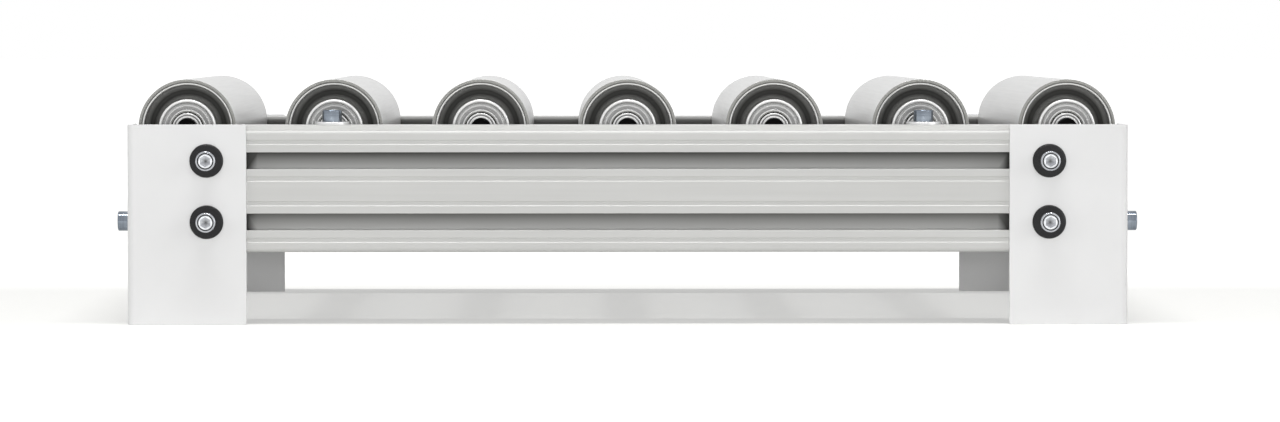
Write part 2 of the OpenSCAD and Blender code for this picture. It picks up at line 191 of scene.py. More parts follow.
def draw_out(piece: Piece, length: float, start: float = 0.0) -> Piece:
    """Draws a filled outline out along Z into a solid, like a profile from its die."""
    bpy.ops.mesh.select_all(action="SELECT")
    bpy.ops.transform.translate(value=(0, 0, start))
    bpy.ops.mesh.extrude_region_move(TRANSFORM_OT_translate={"value": (0, 0, length)})
    close_up(piece)
    return piece


def turned_solid(name: str, points: list[Point], rounds: Iterable[tuple], steps: int) -> Piece:
    """Spins an upright outline about the bench's Z axis into a solid.

    Args:
        name: the template's name.
        points: the outline's corners, as distance from the axis and height.
        rounds: rows of corners, radius and segments, for the corners that are rounded.
        steps: number of segments round the axis.

    Returns:
        The template.
    """
    piece = trace(name, points, Plane.UPRIGHT)
    for rounded, radius, segments in rounds:
        round_corners(piece, rounded, radius, segments, Plane.UPRIGHT)
    bpy.ops.mesh.select_all(action="SELECT")
    bpy.ops.mesh.delete(type="ONLY_FACE")
    bpy.ops.mesh.select_all(action="SELECT")
    bpy.ops.mesh.spin(steps=steps, angle=2 * math.pi, center=(0, 0, 0), axis=(0, 0, 1), dupli=False)
    close_up(piece)
    return piece


def apply_tool(piece: Piece, kind: str, **settings: object) -> Piece:
    """Adds a modifier to a piece, sets it and applies it."""
    work_on(piece)
    tool = piece.modifiers.new(kind.lower(), kind)
    for name, value in settings.items():
        setattr(tool, name, value)
    bpy.ops.object.modifier_apply(modifier=tool.name)
    return piece


def cut(piece: Piece, cutters: list[Piece]) -> Piece:
    """Cuts other solids out of a piece and removes them."""
    for cutter in cutters:
        apply_tool(piece, "BOOLEAN", operation="DIFFERENCE", solver="EXACT", object=cutter)
        bpy.data.objects.remove(cutter)
    return piece


def ease_edges(piece: Piece, width: float, angle: float = BEVEL_ANGLE) -> Piece:
    """Breaks the sharp edges of a piece with two segments.

    Args:
        piece: the piece.
        width: width of the broken edge.
        angle: edges that turn by less stay as they are.

    Returns:
        The same piece.
    """
    return apply_tool(piece, "BEVEL", width=width, segments=2, limit_method="ANGLE", angle_limit=angle,
                      harden_normals=False)


def slice_across(piece: Piece, heights: Iterable[float]) -> Piece:
    """Cuts a drawn piece's faces across at heights on the bench, and leaves it whole."""
    work_on(piece)
    bpy.ops.object.mode_set(mode="EDIT")
    for height in heights:
        bpy.ops.mesh.select_all(action="SELECT")
        bpy.ops.mesh.bisect(plane_co=(0, 0, height), plane_no=(0, 0, 1))
    bpy.ops.object.mode_set(mode="OBJECT")
    return piece


def hole_cutter(radius: float, length: float, centre: Vector, along: Vector, sides: int = 48) -> Piece:
    """Makes a round bar that cuts a hole.

    Args:
        radius: the hole's radius.
        length: length of the bar.
        centre: its middle.
        along: the direction of its axis.
        sides: number of its sides.

    Returns:
        The bar.
    """
    clear_selection()
    turned = along.to_track_quat("Z", "Y").to_euler()
    bpy.ops.mesh.primitive_cylinder_add(vertices=sides, radius=radius, depth=length,
                                        location=centre, rotation=turned)
    cutter = bpy.context.active_object
    bpy.ops.object.transform_apply(location=True, rotation=True, scale=True)
    return cutter


def smooth(piece: Piece) -> Piece:
    """Shades a finished piece smooth, with its broad faces kept flat."""
    work_on(piece)
    bpy.ops.object.shade_smooth_by_angle(angle=SMOOTH_ANGLE)
    return apply_tool(piece, "WEIGHTED_NORMAL", keep_sharp=True, weight=FLAT_FACE_WEIGHT)


def mark_bench_place(piece: Piece) -> Piece:
    """Stores where each corner lay on the bench, so that grain and turning marks follow the piece."""
    corners = piece.data.vertices
    places = [0.0] * (3 * len(corners))
    corners.foreach_get("co", places)
    attribute = piece.data.attributes.new(BENCH_PLACE, "FLOAT_VECTOR", "POINT")
    attribute.data.foreach_set("vector", places)
    return piece


def shade(piece: Piece, amount: Callable[[Vector], float]) -> Piece:
    """Stores how far each corner takes on the painted shade of its finish, from 0 to 1."""
    attribute = piece.data.attributes.new(SHADE, "FLOAT", "POINT")
    for corner, stored in zip(piece.data.vertices, attribute.data):
        stored.value = min(1.0, max(0.0, amount(corner.co)))
    return piece


def finish_shape(piece: Piece) -> Piece:
    """Shades a template smooth and marks its place on the bench."""
    return mark_bench_place(smooth(piece))


def put(template: Piece, name: str, *places: Matrix) -> Piece:
    """Copies a template to one or more places as one new piece with its own mesh.

    Args:
        template: the finished piece on the bench.
        name: the new piece's name.
        places: where each copy goes. A mirrored one is turned right side out.

    Returns:
        The new piece, with its object at the origin.
    """
    copies = []
    for place in places:
        mesh = template.data.copy()
        mesh.transform(place)
        if place.determinant() < 0:
            mesh.flip_normals()
        copy = bpy.data.objects.new(name, mesh)
        bpy.context.scene.collection.objects.link(copy)
        if place.determinant() < 0:
            # The normals kept from the template don't fit its mirror image
            work_on(copy)
            bpy.ops.mesh.customdata_custom_splitnormals_clear()
            smooth(copy)
        copies.append(copy)
    if len(copies) > 1:
        work_on(copies[0])
        for copy in copies:
            copy.select_set(True)
        bpy.ops.object.join()
    return copies[0]


def scrap(*templates: Piece) -> None:
    """Removes templates that have been copied."""
    for template in templates:
        bpy.data.objects.remove(template)


def turned_to(direction: Vector) -> Matrix:
    """Returns the turn that takes the bench's Z to a direction along an axis of the frame."""
    return direction.to_track_quat("Z", "Y").to_matrix().to_4x4()


def at(place: Vector, turn_by: Matrix | None = None) -> Matrix:
    """Returns the placing of a template that is turned first and then moved."""
    return Matrix.Translation(place) @ (turn_by if turn_by else Matrix.Identity(4))


# The bench's X, Y and Z lie along the frame's Y, Z and X
ALONG_TRACK = Matrix(((0, 0, 1, 0), (1, 0, 0, 0), (0, 1, 0, 0), (0, 0, 0, 1)))
# The bench's X, Y and Z lie along the frame's X, Z and -Y
ACROSS_TRACK = Matrix(((1, 0, 0, 0), (0, 0, -1, 0), (0, 1, 0, 0), (0, 0, 0, 1)))
HALF_TURN = Matrix.Rotation(math.pi, 4, "Z")


def fit(piece: Piece, body: str, slot: str, *nodes: str) -> Piece:
    """Gives a finished piece to its body and hides the nodes that it stands for."""
    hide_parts(*nodes)
    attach(piece, body)
    log.info("%s rides on %s for %s: %d faces", piece.name, body, ", ".join(nodes),
             len(piece.data.polygons))
    return piece


# ---- Shader groups that several finishes share ----


@dataclass
class Wiring:
    """A node tree and the short ways to fill it."""

    tree: bpy.types.NodeTree

    def add(self, kind: str, **settings: object) -> bpy.types.Node:
        """Adds a node and sets its properties."""
        node = self.tree.nodes.new(kind)
        for name, value in settings.items():
            setattr(node, name, value)
        return node

    def link(self, source: Socket, target: Socket) -> None:
        """Joins two sockets."""
        self.tree.links.new(source, target)

    def feed(self, value: object, socket: Socket) -> None:
        """Joins a socket to another one, or gives it a plain number or colour."""
        if isinstance(value, bpy.types.NodeSocket):
            self.link(value, socket)
        else:
            socket.default_value = (*value, 1) if isinstance(value, tuple) else value

    def sum(self, kind: str, first: object, second: object = 0.0, clamp: bool = False) -> Socket:
        """Returns the result of a Math node on two sockets or numbers."""
        node = self.add("ShaderNodeMath", operation=kind, use_clamp=clamp)
        self.feed(first, node.inputs[0])
        self.feed(second, node.inputs[1])
        return node.outputs[0]

    def blend(self, *shares: tuple[Socket, float]) -> Socket:
        """Returns the sum of values, each times its share, held between 0 and 1."""
        total = 0.0
        for value, share in shares:
            total = self.sum("ADD", total, self.sum("MULTIPLY", value, share), True)
        return total

    def mix(self, share: object, low: object, high: object, kind: str = "MIX") -> Socket:
        """Returns a colour mixed from two sockets or plain colours."""
        node = self.add("ShaderNodeMix", data_type="RGBA", blend_type=kind)
        for index, value in ((0, share), (6, low), (7, high)):
            self.feed(value, node.inputs[index])
        return node.outputs[2]

    def parts(self, place: Socket) -> bpy.types.NodeOutputs:
        """Returns the X, Y and Z of a place."""
        node = self.add("ShaderNodeSeparateXYZ")
        self.link(place, node.inputs[0])
        return node.outputs

    def from_axis(self, place: Socket) -> Socket:
        """Returns how far a place lies from the Z axis."""
        node = self.add("ShaderNodeVectorMath", operation="LENGTH")
        self.link(self.stretch(place, (1, 1, 0)), node.inputs[0])
        return node.outputs["Value"]

    def noise(self, place: Socket, scale: Socket, detail: float, roughness: float) -> Socket:
        """Returns the value of a noise texture at a place."""
        node = self.add("ShaderNodeTexNoise")
        node.inputs["Detail"].default_value = detail
        node.inputs["Roughness"].default_value = roughness
        self.link(place, node.inputs["Vector"])
        self.feed(scale, node.inputs["Scale"])
        return node.outputs["Fac"]

    def mask(self, value: Socket) -> Socket:
        """Returns a noise's value spread over the full range of a mask."""
        return self.spread(value, NOISE_LOW, NOISE_HIGH)

    def spread(self, value: Socket, low: float, high: float, to_low: float = 0.0,
               to_high: float = 1.0) -> Socket:
        """Returns a value spread from one range to another."""
        node = self.add("ShaderNodeMapRange")
        self.link(value, node.inputs["Value"])
        for name, number in zip(("From Min", "From Max", "To Min", "To Max"), (low, high, to_low, to_high)):
            node.inputs[name].default_value = number
        return node.outputs["Result"]

    def stretch(self, place: Socket, scale: tuple[float, float, float]) -> Socket:
        """Returns a place scaled differently along each axis."""
        node = self.add("ShaderNodeMapping")
        node.inputs["Scale"].default_value = scale
        self.link(place, node.inputs["Vector"])
        return node.outputs["Vector"]


class Effect(Enum):
    """The shared effects, named by what they leave on a surface."""

    DRAWN_GRAIN = "drawn grain"
    TURNING_MARKS = "turning marks"
    CLOUDING = "clouding"
    FINE_PEBBLE = "fine pebble"


def new_group(effect: Effect, knob: str, *outputs: str) -> tuple[Wiring, Socket, Socket, bpy.types.Node]:
    """Starts the shader node group of an effect.

    Args:
        effect: the effect that it is for.
        knob: name of the number that it takes beside the place.
        outputs: names of the numbers that it gives.

    Returns:
        Its wiring, its sockets for the place and the number, and its output node.
    """
    group = bpy.data.node_groups.new(effect.value, "ShaderNodeTree")
    group.interface.new_socket("Place", in_out="INPUT", socket_type="NodeSocketVector")
    group.interface.new_socket(knob, in_out="INPUT", socket_type="NodeSocketFloat")
    for name in outputs:
        group.interface.new_socket(name, in_out="OUTPUT", socket_type="NodeSocketFloat")
    wiring = Wiring(group)
    source = wiring.add("NodeGroupInput").outputs
    return wiring, source["Place"], source[knob], wiring.add("NodeGroupOutput")


def drawn_grain_group() -> bpy.types.NodeTree:
    """Builds the fine lines that a die or a roll leaves along a drawn piece."""
    wiring, place, fineness, target = new_group(Effect.DRAWN_GRAIN, "Fineness", "Lines", "Bands")
    lines = wiring.noise(wiring.stretch(place, LINE_STRETCH), fineness, 3, 0.6)
    broad = wiring.sum("MULTIPLY", fineness, DRAWN_BANDS)
    bands = wiring.noise(wiring.stretch(place, BAND_STRETCH), broad, 2, 0.5)
    wiring.link(wiring.mask(lines), target.inputs["Lines"])
    wiring.link(wiring.mask(bands), target.inputs["Bands"])
    return wiring.tree


def turning_marks_group() -> bpy.types.NodeTree:
    """Builds the rings that turning or grinding leaves round the bench's Z axis."""
    wiring, place, fineness, target = new_group(Effect.TURNING_MARKS, "Fineness", "Rings", "Bands")
    spun = wiring.add("ShaderNodeCombineXYZ")
    wiring.link(wiring.from_axis(place), spun.inputs["X"])
    wiring.link(wiring.parts(place)["Z"], spun.inputs["Y"])
    rings = wiring.noise(spun.outputs[0], fineness, 3, 0.6)
    bands = wiring.noise(spun.outputs[0], wiring.sum("MULTIPLY", fineness, TURNED_BANDS), 1, 0.5)
    wiring.link(wiring.mask(rings), target.inputs["Rings"])
    wiring.link(wiring.mask(bands), target.inputs["Bands"])
    return wiring.tree


def clouding_group() -> bpy.types.NodeTree:
    """Builds soft broad clouds, as handling and plating leave."""
    wiring, place, size, target = new_group(Effect.CLOUDING, "Size", "Clouds")
    clouds = wiring.noise(place, wiring.sum("DIVIDE", 1.0, size), 4, 0.55)
    wiring.link(wiring.mask(clouds), target.inputs["Clouds"])
    return wiring.tree


def fine_pebble_group() -> bpy.types.NodeTree:
    """Builds the small bumps of a powder coat or a moulded grain."""
    wiring, place, size, target = new_group(Effect.FINE_PEBBLE, "Size", "Height", "Specks")
    per_metre = wiring.sum("DIVIDE", 1.0, size)
    wiring.link(wiring.noise(place, per_metre, 2, 0.5), target.inputs["Height"])
    specks = wiring.noise(place, wiring.sum("MULTIPLY", per_metre, SPECKS), 1, 0.5)
    wiring.link(wiring.spread(specks, SPECK_LOW, SPECK_HIGH), target.inputs["Specks"])
    return wiring.tree


GROUP_MAKERS = {
    Effect.DRAWN_GRAIN: drawn_grain_group,
    Effect.TURNING_MARKS: turning_marks_group,
    Effect.CLOUDING: clouding_group,
    Effect.FINE_PEBBLE: fine_pebble_group,
}


def effect_group(effect: Effect) -> bpy.types.NodeTree:
    """Returns the shared group of an effect, built the first time that it is asked for."""
    return bpy.data.node_groups.get(effect.value) or GROUP_MAKERS[effect]()


# ---- Finishes ----


@dataclass
class Paint:
    """The nodes of one material while it is put together."""

    name: str
    material: bpy.types.Material = field(init=False)
    wiring: Wiring = field(init=False)
    shader: bpy.types.Node = field(init=False)

    def __post_init__(self) -> None:
        """Starts a material with a bare Principled shader."""
        self.material = bpy.data.materials.new(self.name)
        self.material.use_nodes = True
        self.wiring = Wiring(self.material.node_tree)
        self.shader = next(n for n in self.wiring.tree.nodes if n.type == "BSDF_PRINCIPLED")

    def set(self, **values: object) -> None:
        """Sets plain values on the shader's own sockets, named with underscores for spaces."""
        for name, value in values.items():
            self.shader.inputs[name.replace("_", " ")].default_value = value

    def bench(self) -> Socket:
        """Returns the place on the bench, where a piece has one."""
        return self.wiring.add("ShaderNodeAttribute", attribute_name=BENCH_PLACE).outputs["Vector"]

    def here(self) -> Socket:
        """Returns the place in the frame."""
        return self.wiring.add("ShaderNodeTexCoord").outputs["Object"]

    def effect(self, effect: Effect, place: Socket, **values: float) -> bpy.types.Node:
        """Adds a shared effect at a place with its own values."""
        node = self.wiring.add("ShaderNodeGroup", node_tree=effect_group(effect))
        self.wiring.link(place, node.inputs["Place"])
        for name, value in values.items():
            node.inputs[name].default_value = value
        return node

    def colour(self, socket: Socket, tone: float = 1.0) -> None:
        """Feeds the base colour, brought down to a tone where painted shade is marked on the piece."""
        marked = self.wiring.add("ShaderNodeAttribute", attribute_name=SHADE).outputs["Fac"]
        toned = self.wiring.mix(marked, socket, (tone, tone, SHADE_WARMTH * tone), "MULTIPLY")
        self.wiring.link(toned, self.shader.inputs["Base Color"])

    def roughness(self, mask: Socket, low: float, high: float) -> None:
        """Spreads a mask over the roughness."""
        self.wiring.link(self.wiring.spread(mask, 0, 1, low, high), self.shader.inputs["Roughness"])

    def bump(self, height: Socket, depth: float) -> None:
        """Raises the surface by a mask times a depth."""
        node = self.wiring.add("ShaderNodeBump")
        node.inputs["Distance"].default_value = depth
        node.inputs["Strength"].default_value = 1.0
        self.wiring.link(height, node.inputs["Height"])
        self.wiring.link(node.outputs["Normal"], self.shader.inputs["Normal"])


# How much the bands, the lines and the clouds of drawn metal count in its colour
DRAWN_SHARES = (0.45, 0.25, 0.3)


@dataclass(frozen=True)
class Skin:
    """What every mottled finish has: its darkest and lightest colour and its span of roughness."""

    name: str
    dark: tuple[float, float, float]
    light: tuple[float, float, float]
    smoothest: float
    roughest: float


@dataclass(frozen=True)
class DrawnMetal(Skin):
    """Metal with lines along its length: anodised profiles, rolled sheet and tube."""

    metallic: float = 1.0
    fineness: float = 1600.0
    line_depth: float = 0.0015 * MM
    tone: float = 0.7

    def material(self) -> bpy.types.Material:
        """Builds the finish."""
        paint = Paint(self.name)
        grain = paint.effect(Effect.DRAWN_GRAIN, paint.bench(), Fineness=self.fineness)
        clouds = paint.effect(Effect.CLOUDING, paint.here(), Size=45 * MM)
        values = (grain.outputs["Bands"], grain.outputs["Lines"], clouds.outputs["Clouds"])
        blend = paint.wiring.blend(*zip(values, DRAWN_SHARES))
        paint.colour(paint.wiring.mix(blend, self.dark, self.light), self.tone)
        paint.roughness(grain.outputs["Lines"], self.smoothest, self.roughest)
        paint.bump(grain.outputs["Lines"], self.line_depth)
        paint.set(Metallic=self.metallic)
        return paint.material


@dataclass(frozen=True)
class TurnedMetal(Skin):
    """Metal with rings round its axis: bearing rings, screws, cups and axles."""

    metallic: float = 1.0
    fineness: float = 2600.0
    ring_depth: float = 0.0012 * MM
    cloud_size: float = 6 * MM
    tone: float = 0.03
    gloss: float = 0.5
    clouding: float = 0.6
    # Radii and tones of the painted highlight and shade bands round the axis
    rings: tuple[tuple[float, float], ...] = ()

    def material(self) -> bpy.types.Material:
        """Builds the finish."""
        paint = Paint(self.name)
        marks = paint.effect(Effect.TURNING_MARKS, paint.bench(), Fineness=self.fineness)
        clouds = paint.effect(Effect.CLOUDING, paint.here(), Size=self.cloud_size)
        blend = paint.wiring.blend((marks.outputs["Bands"], 1 - self.clouding),
                                   (clouds.outputs["Clouds"], self.clouding))
        skin = paint.wiring.mix(blend, self.dark, self.light)
        if self.rings:
            skin = self.ringed(paint, skin)
        paint.colour(skin, self.tone)
        paint.roughness(marks.outputs["Rings"], self.smoothest, self.roughest)
        paint.bump(marks.outputs["Rings"], self.ring_depth)
        paint.set(Metallic=self.metallic, Specular_IOR_Level=self.gloss)
        return paint.material

    def ringed(self, paint: Paint, skin: Socket) -> Socket:
        """Brings the colour down ring by ring, which paints highlights and shade in bands round the axis.

        Args:
            paint: the material that is being put together.
            skin: the colour before the rings.

        Returns:
            The colour times the tone of the ring that it lies in.
        """
        wiring = paint.wiring
        widest = self.rings[-1][0]
        ramp = wiring.add("ShaderNodeValToRGB")
        stops = ramp.color_ramp.elements
        for index, (radius, tone) in enumerate(self.rings):
            stop = stops[index] if index < 2 else stops.new(1.0)
            stop.position = radius / widest
            stop.color = (tone, tone, tone, 1)
        wiring.link(wiring.sum("DIVIDE", wiring.from_axis(paint.bench()), widest * MM), ramp.inputs[0])
        return wiring.mix(1.0, skin, ramp.outputs["Color"], "MULTIPLY")


@dataclass(frozen=True)
class PressedCup:
    """Pressed steel with shade painted into its colour: darkest deep in its dish, greyer up its walls and
    lighter on its lips.
    """

    name: str
    deep: tuple[float, float, float]
    wall: tuple[float, float, float]
    lip: tuple[float, float, float]
    # The painted shade is darkest at this distance from the axis, deep in the dish
    darkest: float = 18.4 * MM
    dark_reach: float = 1.0 * MM
    wall_reach: float = 3.2 * MM
    lip_from: float = -1.7 * MM
    lip_to: float = -0.9 * MM
    tone: float = 0.35

    def material(self) -> bpy.types.Material:
        """Builds the finish."""
        paint = Paint(self.name)
        wiring = paint.wiring
        marks = paint.effect(Effect.TURNING_MARKS, paint.bench(), Fineness=2200.0)
        aside = wiring.sum("ABSOLUTE", wiring.sum("SUBTRACT", wiring.from_axis(paint.bench()), self.darkest))
        body = wiring.mix(wiring.spread(aside, self.dark_reach, self.wall_reach), self.deep, self.wall)
        up_the_lip = wiring.spread(wiring.parts(paint.bench())["Z"], self.lip_from, self.lip_to)
        paint.colour(wiring.mix(up_the_lip, body, self.lip), self.tone)
        paint.roughness(marks.outputs["Rings"], 0.30, 0.42)
        paint.bump(marks.outputs["Rings"], 0.001 * MM)
        paint.set(Metallic=0.5)
        return paint.material


@dataclass(frozen=True)
class PebbledSkin(Skin):
    """A skin with a fine pebble in it: powder coat, moulded grain or plating.

    Its colour follows the clouds where a cloud size is given, and the pebble's specks where none is.
    """

    pebble: float
    pebble_depth: float
    cloud_size: float | None = None
    cloudy_gloss: bool = False
    metallic: float = 0.0
    gloss: float = 0.5
    coat: float = 0.0
    coat_roughness: float = 0.3

    def material(self) -> bpy.types.Material:
        """Builds the finish."""
        paint = Paint(self.name)
        pebble = paint.effect(Effect.FINE_PEBBLE, paint.here(), Size=self.pebble).outputs
        mask = pebble["Specks"]
        if self.cloud_size:
            mask = paint.effect(Effect.CLOUDING, paint.here(), Size=self.cloud_size).outputs["Clouds"]
        paint.colour(paint.wiring.mix(mask, self.dark, self.light))
        paint.roughness(mask if self.cloudy_gloss else pebble["Height"], self.smoothest, self.roughest)
        paint.bump(pebble["Height"], self.pebble_depth)
        paint.set(Metallic=self.metallic, Specular_IOR_Level=self.gloss)
        if self.coat:
            paint.set(Coat_Weight=self.coat, Coat_Roughness=self.coat_roughness)
        return paint.material


def plating(name: str, dark: tuple, light: tuple, smoothest: float, roughest: float) -> PebbledSkin:
    """Returns the clouded plating or polish of a small part that lies inside."""
    return PebbledSkin(name, dark, light, smoothest, roughest, 0.3 * MM, 0.004 * MM, cloud_size=3 * MM,
                       cloudy_gloss=True, metallic=1.0)


# Radii in mm and tones of the bands on the bearings' faces: painted highlights where the tone is 1, painted
# shade where it is lower
INNER_RING_LIGHT_AND_SHADE = ((5.2, 0.5), (5.4, 1.0), (6.1, 1.0), (6.3, 0.2), (6.9, 0.2), (7.1, 1.0), (7.7, 1.0))
OUTER_RING_LIGHT_AND_SHADE = ((8.8, 1.0), (9.3, 1.0), (9.5, 0.32), (10.9, 0.38), (11.2, 1.0), (11.9, 1.0), (12.1, 0.42),
               (13.0, 0.42))
# Each finish's tone is the colour that its painted shade darkens it to, where a piece is marked
FINISHES = {
    "rail": DrawnMetal("satin_anodised", (0.565, 0.565, 0.555), (0.62, 0.62, 0.61), 0.42, 0.52,
                       metallic=0.12, tone=0.13),
    "carrier": DrawnMetal("satin_carrier", (0.66, 0.66, 0.645), (0.71, 0.71, 0.695), 0.42, 0.52,
                          metallic=0.1, tone=0.10),
    "leg": PebbledSkin("light_grey_powder_coat", (0.785, 0.785, 0.79), (0.825, 0.825, 0.83), 0.36, 0.52,
                       0.9 * MM, 0.02 * MM, cloud_size=60 * MM, coat=0.12),
    "zinc": TurnedMetal("bright_zinc", (0.34, 0.35, 0.38), (0.88, 0.90, 0.93), 0.08, 0.16, metallic=0.85,
                        clouding=0.3),
    # A darker copy of the screws' blue zinc for the end and carrier screws, with darker reflections painted
    # into its colour
    "zinc_painted_dim": TurnedMetal("blue_zinc_painted_darker", (0.10, 0.12, 0.15), (0.36, 0.40, 0.45), 0.05, 0.10, clouding=0.3),
    "washer": TurnedMetal("zinc_washer", (0.66, 0.66, 0.66), (0.82, 0.82, 0.82), 0.22, 0.36),
    "black": PebbledSkin("black_grained_washer", (0.008, 0.008, 0.009), (0.09, 0.09, 0.095), 0.30, 0.50,
                         0.35 * MM, 0.05 * MM, gloss=0.3),
    "tube": DrawnMetal("satin_tube", (0.60, 0.60, 0.595), (0.66, 0.66, 0.655), 0.28, 0.40,
                       metallic=0.35, fineness=1100.0, line_depth=0.001 * MM, tone=0.48),
    "cup": PressedCup("pressed_cup_steel", (0.022, 0.022, 0.020), (0.40, 0.40, 0.39), (0.85, 0.85, 0.84)),
    "bearing": TurnedMetal("ground_bearing_steel", (0.68, 0.68, 0.68), (0.75, 0.75, 0.745), 0.20, 0.28,
                           metallic=0.5, ring_depth=0.0004 * MM, clouding=0.2, rings=OUTER_RING_LIGHT_AND_SHADE),
    # A lighter copy of the bearing steel, with light painted into the inner ring's colour
    "inner": TurnedMetal("ground_inner_ring_painted_light", (0.76, 0.76, 0.76), (0.84, 0.84, 0.835), 0.20, 0.28,
                         metallic=0.5, ring_depth=0.0004 * MM, clouding=0.2, rings=INNER_RING_LIGHT_AND_SHADE),
    # Blackened steel, made darker and duller than it really is so that the axle ends show the painted shade
    # of the bores
    "axle": TurnedMetal("blackened_axle", (0.002, 0.002, 0.002), (0.006, 0.006, 0.006), 0.55, 0.7,
                        metallic=0.0, gloss=0.03),
    "nut": plating("plated_slot_nut", (0.40, 0.40, 0.42), (0.55, 0.55, 0.56), 0.25, 0.4),
    "balls": plating("polished_balls", (0.20, 0.20, 0.19), (0.30, 0.30, 0.29), 0.15, 0.3),
    "spring": plating("phosphated_spring", (0.05, 0.05, 0.055), (0.09, 0.09, 0.095), 0.35, 0.5),
}


@dataclass
class PaintShop:
    """Keeps each finish's material, so that it is built once."""

    made: dict[str, bpy.types.Material] = field(default_factory=dict)

    def mixed(self, finish: str) -> bpy.types.Material:
        """Returns a finish's material."""
        if finish not in self.made:
            self.made[finish] = FINISHES[finish].material()
        return self.made[finish]

    def coat(self, piece: Piece, finish: str) -> Piece:
        """Gives a piece one finish all over."""
        piece.data.materials.clear()
        piece.data.materials.append(self.mixed(finish))
        return piece

    def place(self, template: Piece, name: str, places: Iterable[Matrix], finish: str, slot: str, node: str,
              body: str = "frame") -> None:
        """Copies a template to its places as one coated piece that stands for a node.

        Args:
            template: the finished piece on the bench.
            name: the new piece's name.
            places: where each copy goes.
            finish: the piece's finish.
            slot: its material slot, which is not used.
            node: the node that it stands for.
            body: the body that it rides on.
        """
        fit(self.coat(put(template, name, *places), finish), body, slot, node)

    def coat_node(self, node: str, finish: str) -> None:
        """Gives a carried-over node one finish in each of its material slots."""
        material = self.mixed(finish)
        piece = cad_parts[node]
        for slot in piece.material_slots:
            slot.material = material
        if not piece.material_slots:
            piece.data.materials.append(material)


# ---- Sizes that more than one sub-assembly reads ----


@dataclass
class Layout:
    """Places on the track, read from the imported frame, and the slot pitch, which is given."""

    rail_low: Vector = field(init=False)
    rail_high: Vector = field(init=False)
    leg_low: Vector = field(init=False)
    leg_high: Vector = field(init=False)
    carrier_low: Vector = field(init=False)
    carrier_high: Vector = field(init=False)
    roller_count: int = field(init=False)
    slot_pitch: float = 30.9 * MM

    def __post_init__(self) -> None:
        """Reads the boxes of the main nodes."""
        self.rail_low, self.rail_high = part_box("rail_near")
        self.leg_low, self.leg_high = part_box("leg_near_left")
        self.carrier_low, self.carrier_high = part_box("carrier_near")
        self.roller_count = sum(name.startswith("roller_tube_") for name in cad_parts)

    @property
    def rail_length(self) -> float:
        """Length of a rail."""
        return self.rail_high.x - self.rail_low.x

    @property
    def rail_y(self) -> float:
        """Distance of a rail's middle from the track's middle."""
        return abs(self.rail_low.y + self.rail_high.y) / 2

    @property
    def rail_outer_y(self) -> float:
        """Distance of a rail's outer face from the track's middle."""
        return abs(self.rail_low.y)

    @property
    def rail_middle_z(self) -> float:
        """Height of a rail's middle."""
        return (self.rail_low.z + self.rail_high.z) / 2

    def axle(self, number: int) -> Vector:
        """Returns the middle of an axle."""
        low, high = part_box(f"axle_{number}")
        return (low + high) / 2


# ---- Slotted profiles ----


@dataclass
class Slot:
    """One T-slot and the two shallow recesses beside it."""

    mouth: float = 8.4 * MM
    lip: float = 2.0 * MM
    cavity: float = 16.5 * MM
    side: float = 2.5 * MM
    depth: float = 9.0 * MM
    recess_from: float = 8.0 * MM
    recess_width: float = 2.5 * MM
    recess_depth: float = 0.3 * MM
    lip_round: float = 0.3 * MM
    recess_round: float = 0.06 * MM

    @property
    def floor(self) -> float:
        """Width of the slot's floor between its sloping sides."""
        return self.cavity - 2 * (self.depth - self.lip - self.side)

    def right_half(self) -> list[Point]:
        """Returns the corners from the floor outwards, as distance along the face and height above it."""
        near, far, deep = self.recess_from, self.recess_from + self.recess_width, self.recess_depth
        return [
            (self.floor / 2, -self.depth), (self.cavity / 2, -self.lip - self.side),
            (self.cavity / 2, -self.lip), (self.mouth / 2, -self.lip), (self.mouth / 2, 0.0),
            (near, 0.0), (near + deep, -deep), (far - deep, -deep), (far, 0.0),
        ]

    def across(self) -> list[Point]:
        """Returns the corners across the whole slot, from left to right."""
        right = self.right_half()
        return [(-along, up) for along, up in reversed(right)] + right

    def lips(self) -> list[Point]:
        """Returns the four corners of the lips."""
        return [(side * self.mouth / 2, up) for side in SIDES for up in (0.0, -self.lip)]

    def recess_corners(self) -> list[Point]:
        """Returns the corners of both recesses."""
        return [(side * along, up) for side in SIDES for along, up in self.right_half()[5:]]


